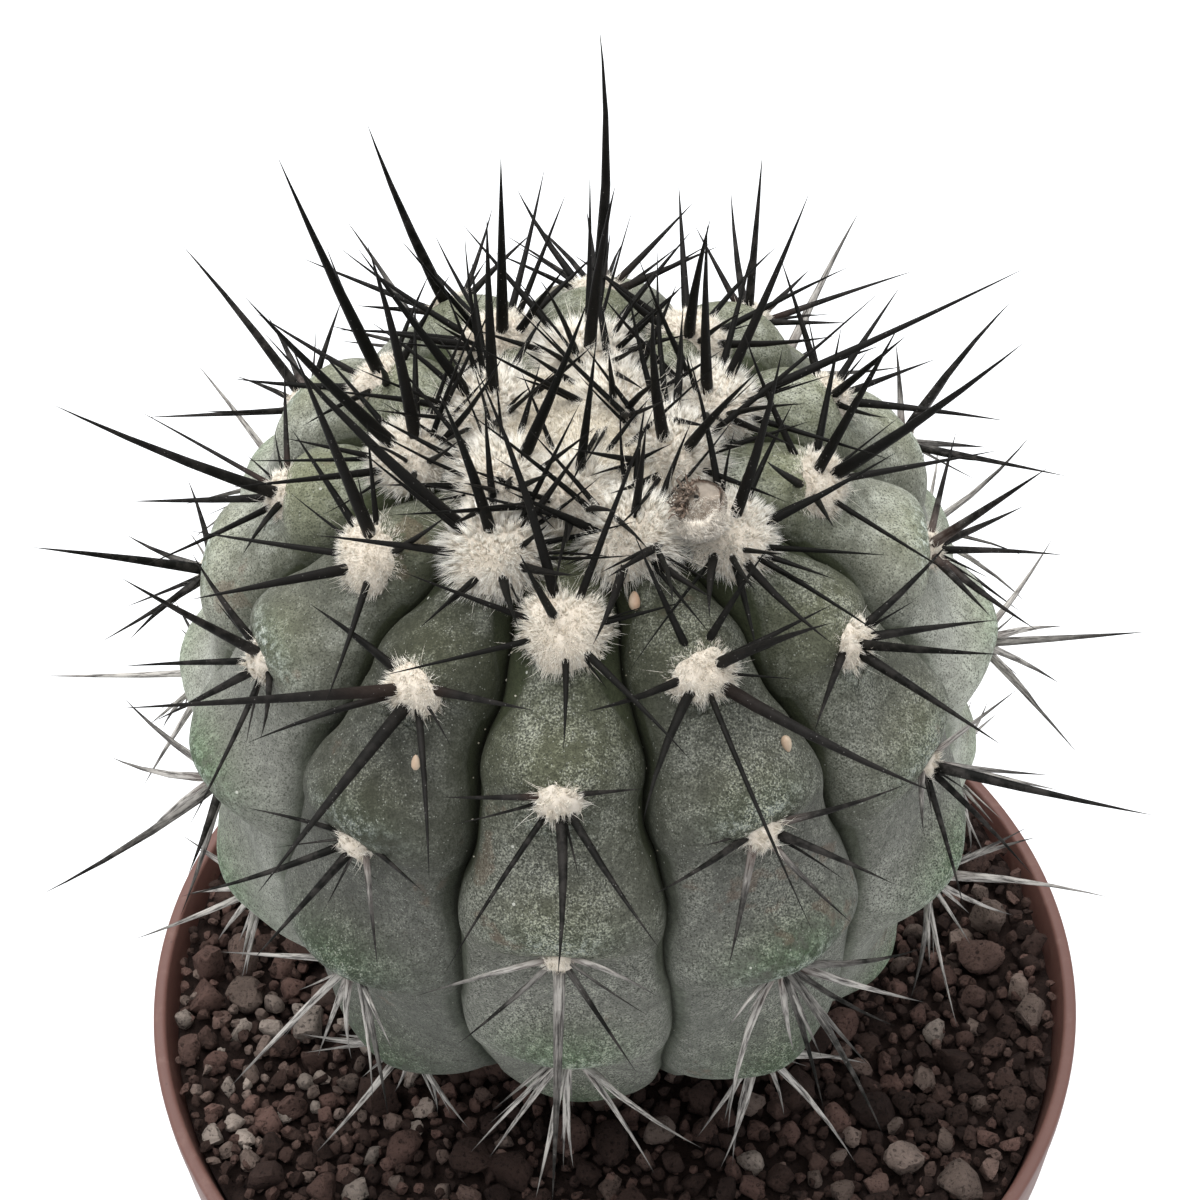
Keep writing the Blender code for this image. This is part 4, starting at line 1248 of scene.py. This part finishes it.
def gritMaterial():
    g = Graph("lava grit")
    tone, kind = g.read("tone"), g.read("kind")
    pores = g.noise(0.5, 5, 0.75)
    holes = g.dots(0.8, 0.36, 0.3)
    broad = g.noise(2.2, 4, 0.6)
    colour = g.ramp(
        kind,
        (0.0, (0.030, 0.019, 0.016)),
        (0.35, (0.044, 0.027, 0.022)),
        (0.55, (0.072, 0.044, 0.036)),
        (0.72, (0.115, 0.068, 0.056)),
        (0.86, (0.145, 0.108, 0.090)),
        (0.96, (0.2, 0.15, 0.126)),
        (1.0, (0.29, 0.24, 0.205)),
    )
    colour = g.scaled(colour, (0.55 + 1.35 * broad) * (0.75 + 0.5 * tone))
    # painted shade: the pores and pits that the bumps dent in are painted near black
    colour = g.mix(pores.over(0.5, 0.32) * 0.75, colour, (0.010, 0.007, 0.006))
    colour = g.mix(holes * 0.35, colour, (0.010, 0.007, 0.006))
    normal = g.bump(broad, 0.6)
    normal = g.bump(pores, 0.45, normal)
    normal = g.bump(1 - holes, 0.3, normal)
    return g.finish(colour, 0.92, normal, Specular_IOR_Level=0.15)


def grainTemplate(cells):
    # a cube with cells by cells faces on each side, blown up to a ball: few faces and no poles
    step = np.tan(np.linspace(-1, 1, cells + 1) * math.pi / 4)
    index, points, faces = {}, [], []
    for axis in range(3):
        for end in (0, cells):
            for a in range(cells):
                for b in range(cells):
                    corners = [(a, b), (a + 1, b), (a + 1, b + 1), (a, b + 1)]
                    face = []
                    for pair in corners if end else corners[::-1]:
                        key = list(pair)
                        key.insert(axis, end)
                        key = tuple(key)
                        if key not in index:
                            index[key] = len(points)
                            points.append([step[k] for k in key])
                        face.append(index[key])
                    faces.append(face if axis != 1 else face[::-1])
    return unit(np.array(points)), np.array(faces)


def undersideHeights(x, y, reach):
    # lowest height of the stem over each grain, or a large number under the open sky
    angle, around = np.meshgrid(np.linspace(1.5, math.pi, 60), np.linspace(-6, 6, 145))
    points = skinPoints(angle, around).reshape(-1, 3)
    near = (points[:, 0] - x[:, None]) ** 2 + (points[:, 1] - y[:, None]) ** 2 < reach[:, None] ** 2
    return np.where(near, points[:, 2], 1e6).min(1)


def pileHeight(reach):
    # the grit lies a little higher against the pot
    edge = innerRadius(pot["height"] - pot["collarHeight"])
    return grit["wallPile"] * smooth(edge - grit["wallPileWidth"], edge, reach)


def scatterGrains(rng, tries, low, high, kept):
    # a try is kept where it lies clear of those already there
    edge = pot["rimRadius"] - pot["wall"] - 0.3
    neckFoot = place(np.array([0, 0, stem["top"] - stem["crownHeight"] - stem["bellyHeight"]]))
    size = rng.uniform(low, high, tries)
    reach, bearing = (edge - size) * np.sqrt(rng.uniform(0, 1, tries)), rng.uniform(0, turn, tries)
    x, y = reach * np.cos(bearing), reach * np.sin(bearing)
    clear = np.hypot(x - neckFoot[0], y - neckFoot[1]) > stem["neckRadius"] - 1 + size
    made = np.zeros((0, 3))
    for i in np.flatnonzero(clear):
        others = np.vstack([kept, made])
        apart = np.hypot(others[:, 0] - x[i], others[:, 1] - y[i])
        if (apart > grit["closeness"] * (others[:, 2] + size[i])).all():
            made = np.vstack([made, (x[i], y[i], size[i])])
    return made


def shapeGrains(rng, x, y, height, size, cells):
    # balls made uneven by a few waves and cut by a few planes, then stretched and turned at random
    ball, faces = grainTemplate(cells)
    count = len(x)
    points = np.broadcast_to(ball, (count, *ball.shape)).copy()
    for _ in range(3):
        way = unit(rng.normal(size=(count, 3))) * rng.uniform(2, 5, (count, 1))
        wave = np.sin(np.einsum("gpc,gc->gp", points, way) + rng.uniform(0, turn, (count, 1)))
        points = points * (1 + grit["bumpiness"] * 0.5 * wave[..., None])
    for _ in range(grit["cuts"]):
        way = unit(rng.normal(size=(count, 3)))
        past = np.einsum("gpc,gc->gp", points, way) - rng.uniform(0.5, 0.82, (count, 1))
        points = points - np.maximum(past, 0)[..., None] * way[:, None] * 0.95
    points = points * (size[:, None] * rng.uniform([0.9, 0.8, 0.66], [1.12, 1.0, 0.9], (count, 3)))[:, None]
    spin = unit(rng.normal(size=(count, 3)))
    other = unit(np.cross(spin, rng.normal(size=(count, 3))))
    frames = np.stack([spin, other, np.cross(spin, other)], 1)
    return points @ frames + np.stack([x, y, height], -1)[:, None], faces


def makeGrains():
    # loose grains on the bed, the large ones first, under the stem only as high as it leaves room
    rng = np.random.default_rng(5150)
    material = gritMaterial()
    kept = np.zeros((0, 3))
    for name, (cells, tries, low, high, lift) in grit["sizes"].items():
        fresh = scatterGrains(rng, tries, low, high, kept if cells > 2 else kept[:0])
        kept = np.vstack([kept, fresh])
        x, y, size = fresh.T
        bed = pot["height"] - pot["gritBelowRim"] + pileHeight(np.hypot(x, y)) - grit["bedBelowTop"]
        height = bed + size * (lift + rng.uniform(*grit["heightJitter"], len(x)))
        height = np.minimum(height, undersideHeights(x, y, size + 1.5) - size - grit["stemGap"])
        shown = height + 0.7 * size > bed - 2  # those buried by the stem are left out
        points, faces = shapeGrains(rng, x[shown], y[shown], height[shown], size[shown], cells)
        count, each = points.shape[:2]
        paleX, paleY, paleReach = grit["paleSpot"]
        pale = np.exp(-((x[shown] - paleX) ** 2 + (y[shown] - paleY) ** 2) / paleReach**2)
        kind = np.clip(rng.uniform(0, 1, count) * (1 - 0.2 * (cells < 3)) + 0.32 * pale, 0, 1)
        tones = {"tone": np.repeat(rng.uniform(0, 1, count), each), "kind": np.repeat(kind, each)}
        piece = meshOf("grit" + name, points, copies([faces], count, each), tones)
        piece.data.set_sharp_from_angle(angle=math.radians(38))
        dress(piece, material, "potting_grit")


def makeGritBed():
    # the imported grit under the loose grains: a profile turned round the axis, its top a little rough and
    # painted dark as shade, since it shows only in the gaps between grains
    topRows = 46
    top = pot["height"] - pot["gritBelowRim"]
    shoulder = pot["height"] - pot["collarHeight"]
    foot = pot["floor"] + 0.3
    columns = 220
    edge = pot["rimRadius"] - pot["wall"] - 1.0
    low = innerRadius(shoulder) - 0.3
    reach = np.concatenate([np.linspace(0, edge, topRows), [edge - 0.3, low, innerRadius(foot) - 0.3, 0]])
    tall = np.concatenate([np.full(topRows, top), [top - 1.2, shoulder, foot, foot]])
    bearing = evenly(columns)
    reach, tall = reach[:, None] + 0 * bearing, tall[:, None] + 0 * bearing
    flat = np.stack([reach * np.cos(bearing), reach * np.sin(bearing), 0 * tall], -1)
    rough = ripple(flat, 4.5, 21) * 0.55 + ripple(flat, 2.4, 22) * 0.4
    isTop = (np.arange(len(reach)) < topRows)[:, None]
    tall = tall + np.where(isTop, rough + pileHeight(reach) - 2.2, 0)
    grid = np.stack([reach * np.cos(bearing), reach * np.sin(bearing), tall], -1)
    points = ballPoints(grid)
    # painted shade: the bed takes the darkest grit colour
    values = {"tone": np.full(len(points), 0.1), "kind": np.full(len(points), 0.1)}
    piece = meshOf("gritBed", points, ballFaces(*grid.shape[:2]), values)
    dress(piece, gritMaterial(), "potting_grit")


# Dried pod and seeds

pod = {
    "seat": (np.array(0.27), np.array(1.62)),  # its angle from the crown, and its rib
    "shift": (-0.4, -1.7, 1.1),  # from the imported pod's middle, outward, up the rib and to the right
    "sunk": (0, 1.8, -1.7),  # and deeper into the wool, straight away from the camera
    "tail": (0.75, 0.2, -0.45),  # which way its mouth looks: outward, up and to the right
    "radius": 2.45,
    "depth": 2.6,  # from the middle down to its foot
    "length": 4.0,
    "rows": (18, 14),  # up its wall, and in over the filling
    "columns": 64,
    "scar": (0.35, 0.3),  # a dark dot on the filling, up and to the right of its middle
    "scarRadius": 0.38,
    "hairs": (500, 2100),  # over the filling, and round its lower left edge
    "shreds": 90,
    "shredRows": 10,
    "shredThickness": 0.05,
}


def boxMiddle(node):
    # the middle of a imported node, in millimetres
    low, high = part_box(node)
    return np.array((low + high) / 2) / mm


def huskMaterial():
    g = Graph("papery husk")
    tone, dark = g.read("tone"), g.read("dark")
    fibre = g.noise(0.7, 5, 0.65)
    broad = g.noise(2.2, 3)
    pale = g.mix(broad, (0.2, 0.165, 0.13), (0.4, 0.35, 0.29))
    brown = g.mix(fibre.over(0.35, 0.65), (0.05, 0.03, 0.02), (0.27, 0.19, 0.14))
    colour = g.mix(tone, pale, brown)
    colour = g.scaled(colour, 0.75 + 0.5 * fibre)
    colour = g.mix(dark.over(0.3, 0.6), colour, (0.012, 0.01, 0.008))
    normal = g.bump(fibre, 0.12)
    return g.finish(colour, 0.8, normal, Specular_IOR_Level=0.3)


def makePod():
    # a papery cup with a ragged brown rim, filled to just under it with matted down: a profile turned
    # round its own axis, whose radius grows as a sine to the power 0.6 up the wall and shrinks to 0 over
    # the filling, while a few waves round it bend the rim and fold the wall
    _, out, up, right = areoleFrames(*pod["seat"])
    away, above, aside = pod["shift"]
    middle = boxMiddle("dried_pod") + out * away + right * aside + up * above + pod["sunk"]
    away, above, aside = pod["tail"]
    tail = unit(out * away + up * above + right * aside)
    side = unit(np.cross(tail, up))
    front = np.cross(side, tail)
    (outer, inner), columns = pod["rows"], pod["columns"]
    share = np.concatenate([np.linspace(0, 1, outer), np.ones(inner)])
    inward = np.concatenate([np.zeros(outer), np.linspace(0, 1, inner)])
    bearing = evenly(columns)
    reach = (pod["radius"] * np.sin(share * 1.9) ** 0.6 - 0.12 * (inward > 0)) * (1 - inward**1.3)
    towardRight = np.cos(bearing - math.atan2(front @ right, side @ right))
    rim = 1 + 0.05 * np.sin(2 * bearing + 1) + 0.025 * np.sin(7 * bearing) + 0.02 * np.sin(13 * bearing + 2)
    rim = rim - 0.12 * smooth(0.3, -0.5, towardRight) + 0.04 * smooth(0.0, 0.7, towardRight)
    fill = 0.2 * smooth(0.0, 0.1, inward) - 0.5 * smooth(0.15, 1.0, inward)
    tall = pod["length"] * share[:, None] * (1 + (rim - 1) * (1 - inward[:, None]))
    tall = tall - pod["depth"] - fill[:, None]
    folds = 1 + 0.05 * np.sin(2 * bearing + 0.6) + 0.03 * np.sin(5 * bearing + 3 * share[:, None])
    reach = reach[:, None] * folds
    around = side * np.cos(bearing)[:, None] + front * np.sin(bearing)[:, None]
    grid = middle + reach[..., None] * around + tall[..., None] * tail
    grid = grid + (0.16 * ripple(grid, 0.9, 61) * smooth(0.1, 0.3, inward)[:, None])[..., None] * tail
    grid[0], grid[-1] = grid[0].mean(0), grid[-1].mean(0)
    edge = smooth(0.84, 0.97, share) * (1 - smooth(0.04, 0.16, inward))
    tone = 0.1 + edge[:, None] * smooth(-0.2, 0.5, towardRight) * 0.85 + 0.1 * ripple(grid, 1.6, 62)
    points = ballPoints(grid)
    # the dot is round the point of the filling that lies nearest to its place
    above, aside = pod["scar"]
    lift = (points - middle) @ tail
    missed = points - middle - lift[:, None] * tail - right * aside - up * above
    scar = points[np.argmin(np.linalg.norm(missed, axis=-1) - 0.4 * lift)]
    dark = np.exp(-((np.linalg.norm(points - scar, axis=-1) / pod["scarRadius"]) ** 2))
    values = {"tone": ballPoints(tone[..., None])[:, 0], "dark": dark}
    piece = meshOf("driedPod", points, [f[:, ::-1] for f in ballFaces(len(share), columns)], values)
    dress(piece, huskMaterial(), "dried_pod")
    left = math.atan2(front @ (-right - up), side @ (-right - up))
    filling = grid[outer + 2 : -1].reshape(-1, 3)
    filling = filling[(filling - middle) @ (side * math.cos(left) + front * math.sin(left)) > -0.3]
    makePodDown(filling, middle, tail, side, front, left)
    upper = math.atan2(front @ (up - right * 0.6), side @ (up - right * 0.6))
    makeShreds(middle + tail * 1.2, tail, side, front, upper)


def makePodDown(filling, middle, tail, side, front, left):
    # short matted hairs over the filling of the cup, and longer ones that bury its lower left edge
    rng = np.random.default_rng(64)
    inside, beside = pod["hairs"]
    short = filling[rng.integers(0, len(filling), inside)] + rng.normal(0, 0.08, (inside, 3))
    bearing = left + rng.normal(0, 0.75, beside)
    outward = side * np.cos(bearing)[:, None] + front * np.sin(bearing)[:, None]
    reach = rng.uniform(2.1, 3.6, (beside, 1))
    fall = 0.9 * np.maximum(reach - 2.5, 0)
    long = middle + outward * reach + tail * (1.1 - fall + rng.normal(0, 0.15, (beside, 1)))
    roots = np.concatenate([short, long])
    lock = np.stack([ripple(roots, 0.9, seed) for seed in (65, 66, 67)], -1)
    inward = np.concatenate([0 * short, -0.5 * outward])
    aims = unit(tail + inward + 0.6 * lock + rng.normal(0, 0.3, roots.shape))
    lengths = np.concatenate([rng.uniform(0.15, 0.35, inside), rng.uniform(0.5, 0.95, beside)])
    tones = np.clip(rng.normal(0.5, 0.15, len(roots)), 0, 1)
    piece = fuzzMesh("podDown", roots, aims, lengths, np.full(len(roots), 0.03), tones)
    dress(piece, woolMaterial("matted down", (0.96, 0.91, 0.83), (0.78, 0.7, 0.59)), "dried_pod")


def makeShreds(middle, tail, side, front, upper):
    # crumpled strips of withered petal heaped on one side of the cup: thin closed ribbons
    # that wave and curl along their middle line
    rng = np.random.default_rng(88)
    count, rows, thin = pod["shreds"], pod["shredRows"], pod["shredThickness"]
    share = np.linspace(0, 1, rows)[None, :, None]
    bearing = upper + rng.normal(0, 0.6, count)
    outward = side * np.cos(bearing)[:, None] + front * np.sin(bearing)[:, None]
    root = middle + outward * rng.uniform(1.0, 2.3, (count, 1)) + tail * rng.uniform(-0.4, 0.5, (count, 1))
    aim = unit(tail * rng.uniform(0.0, 0.9, (count, 1)) + rng.normal(0, 0.7, (count, 3)))
    across = unit(np.cross(aim, outward + 0.3 * rng.normal(size=(count, 3))))
    thick = np.cross(aim, across)
    length = rng.uniform(0.7, 1.7, (count, 1, 1))
    wave = np.sin(share * rng.uniform(5, 14, (count, 1, 1)) + rng.uniform(0, turn, (count, 1, 1)))
    curl = np.cos(share * rng.uniform(4, 9, (count, 1, 1)))
    line = root[:, None] + aim[:, None] * share * length
    line = line + thick[:, None] * wave * 0.3 * share + across[:, None] * (curl - 1) * 0.25 * share
    wide = rng.uniform(0.1, 0.3, (count, 1, 1)) * (1 - 0.75 * share)
    loop = [across[:, None] * wide, thick[:, None] * thin, -across[:, None] * wide, -thick[:, None] * thin]
    points = np.stack([line + step for step in loop], 2).reshape(count, -1, 3)
    ring = np.arange(4)
    caps = np.array([ring[::-1], 4 * (rows - 1) + ring])
    tone = np.repeat(rng.uniform(0.5, 1, count), points.shape[1])
    faces = copies([tubeFaces(rows, 4), caps], count, points.shape[1])
    piece = meshOf("podShreds", points, faces, {"tone": tone})
    dress(piece, huskMaterial(), "dried_pod")


def seedMaterial():
    g = Graph("seed coat")
    tone = g.read("tone")
    fine = g.noise(0.35, 4)
    colour = g.mix(tone, (0.50, 0.40, 0.29), (0.36, 0.17, 0.085))
    colour = g.scaled(colour, 0.8 + 0.4 * fine)
    return g.finish(colour, 0.45, g.bump(fine, 0.05), Specular_IOR_Level=0.5)


seeds = {
    "tints": (0.5, 0.3, 0.3),
    "sizes": (0.9, 0.8, 0.7),
    "halfWidth": 0.6,  # as shares of the size
    "halfLength": 1.05,
    "rows": 18,
    "columns": 28,
}


def makeSeeds():
    # an egg with one blunt and one pointed end, and a paler keel along it: its radius follows a sine
    # along it, less where the cosine of the same angle is larger
    rows, columns = seeds["rows"], seeds["columns"]
    for number, (tint, size) in enumerate(zip(seeds["tints"], seeds["sizes"]), 1):
        node = "seed_" + str(number)
        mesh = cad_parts[node].data
        corners = np.array([v.co for v in mesh.vertices]) / mm
        middle = corners.mean(0)
        _, _, axes = np.linalg.svd(corners - middle, full_matrices=False)
        share = np.linspace(0, math.pi, rows)[:, None]
        bearing = evenly(columns)
        reach = size * seeds["halfWidth"] * np.sin(share) * (1 - 0.22 * np.cos(share))
        reach = reach * (1 + 0.12 * np.cos(bearing) ** 8)
        tall = size * seeds["halfLength"] * np.cos(share) + 0 * bearing
        grid = middle + tall[..., None] * axes[0] + (reach * np.cos(bearing))[..., None] * axes[1]
        grid = grid + (reach * np.sin(bearing))[..., None] * np.cross(axes[0], axes[1])
        tone = tint * (1 - np.abs(np.cos(bearing)) ** 6 * 0.8) + 0 * share
        values = {"tone": ballPoints(tone[..., None])[:, 0]}
        piece = meshOf("seed" + str(number), ballPoints(grid), ballFaces(rows, columns), values)
        dress(piece, seedMaterial(), node)


# Floor, light and camera

studio = {
    "lens": 60.0,
    "cameraPlace": (-0.5, -159.0, 315.0),
    "lookDown": 43.5,  # degrees below level
    "roll": -1.5,
    "world": (0.93, 0.96, 1.0),
    "worldStrength": 0.78,
    "lampWatts": 16.0,
    "lampSize": 1.1,
    "lampPlace": (-0.15, 0.1, 1.1),
}


def makeFloor():
    # a wide pale plane
    bpy.ops.mesh.primitive_plane_add(size=8)
    floor = bpy.context.object
    floor.name = "floor"
    g = Graph("pale floor")
    colour = g.mix(g.noise(90, 2), (0.93, 0.93, 0.93), (0.95, 0.95, 0.95))
    floor.data.materials.append(g.finish(colour, 0.9))


def makeLight():
    # an even pale sky and one large soft lamp from above
    scene = bpy.context.scene
    scene.view_settings.view_transform = "Standard"
    scene.view_settings.look = "None"
    world = bpy.data.worlds.new("studio")
    scene.world = world
    world.use_nodes = True
    back = world.node_tree.nodes["Background"]
    back.inputs["Color"].default_value = (*studio["world"], 1)
    back.inputs["Strength"].default_value = studio["worldStrength"]
    light = bpy.data.lights.new("softbox", "AREA")
    light.shape = "SQUARE"
    light.size = studio["lampSize"]
    light.energy = studio["lampWatts"]
    lamp = bpy.data.objects.new("softbox", light)
    lamp.location = studio["lampPlace"]
    aim = Vector((0, 0, 0.14)) - lamp.location
    lamp.rotation_euler = aim.to_track_quat("-Z", "Y").to_euler()
    scene.collection.objects.link(lamp)


def makeCamera():
    # stands in front of the plant and looks down on it, a little rolled
    camera = bpy.data.cameras.new("camera")
    camera.sensor_width = 36
    camera.lens = studio["lens"]
    camera.clip_start = 0.01
    down, roll = math.radians(studio["lookDown"]), math.radians(studio["roll"])
    ahead = Vector((0, math.cos(down), -math.sin(down)))
    right = Vector((1, 0, 0))
    up = right.cross(ahead)
    right, up = right * math.cos(roll) + up * math.sin(roll), up * math.cos(roll) - right * math.sin(roll)
    holder = bpy.data.objects.new("camera", camera)
    matrix = Matrix((right, up, -ahead)).transposed().to_4x4()
    matrix.translation = Vector(studio["cameraPlace"]) * mm
    holder.matrix_world = matrix
    bpy.context.scene.collection.objects.link(holder)
    bpy.context.scene.camera = holder


makeFloor()
makeLight()
makeCamera()
makeSkin()
makeCrumbs()
makeCushions()
makeCrownFelt()
makeWool()
makeSpines()
makePot()
makeGritBed()
makeGrains()
makePod()
makeSeeds()
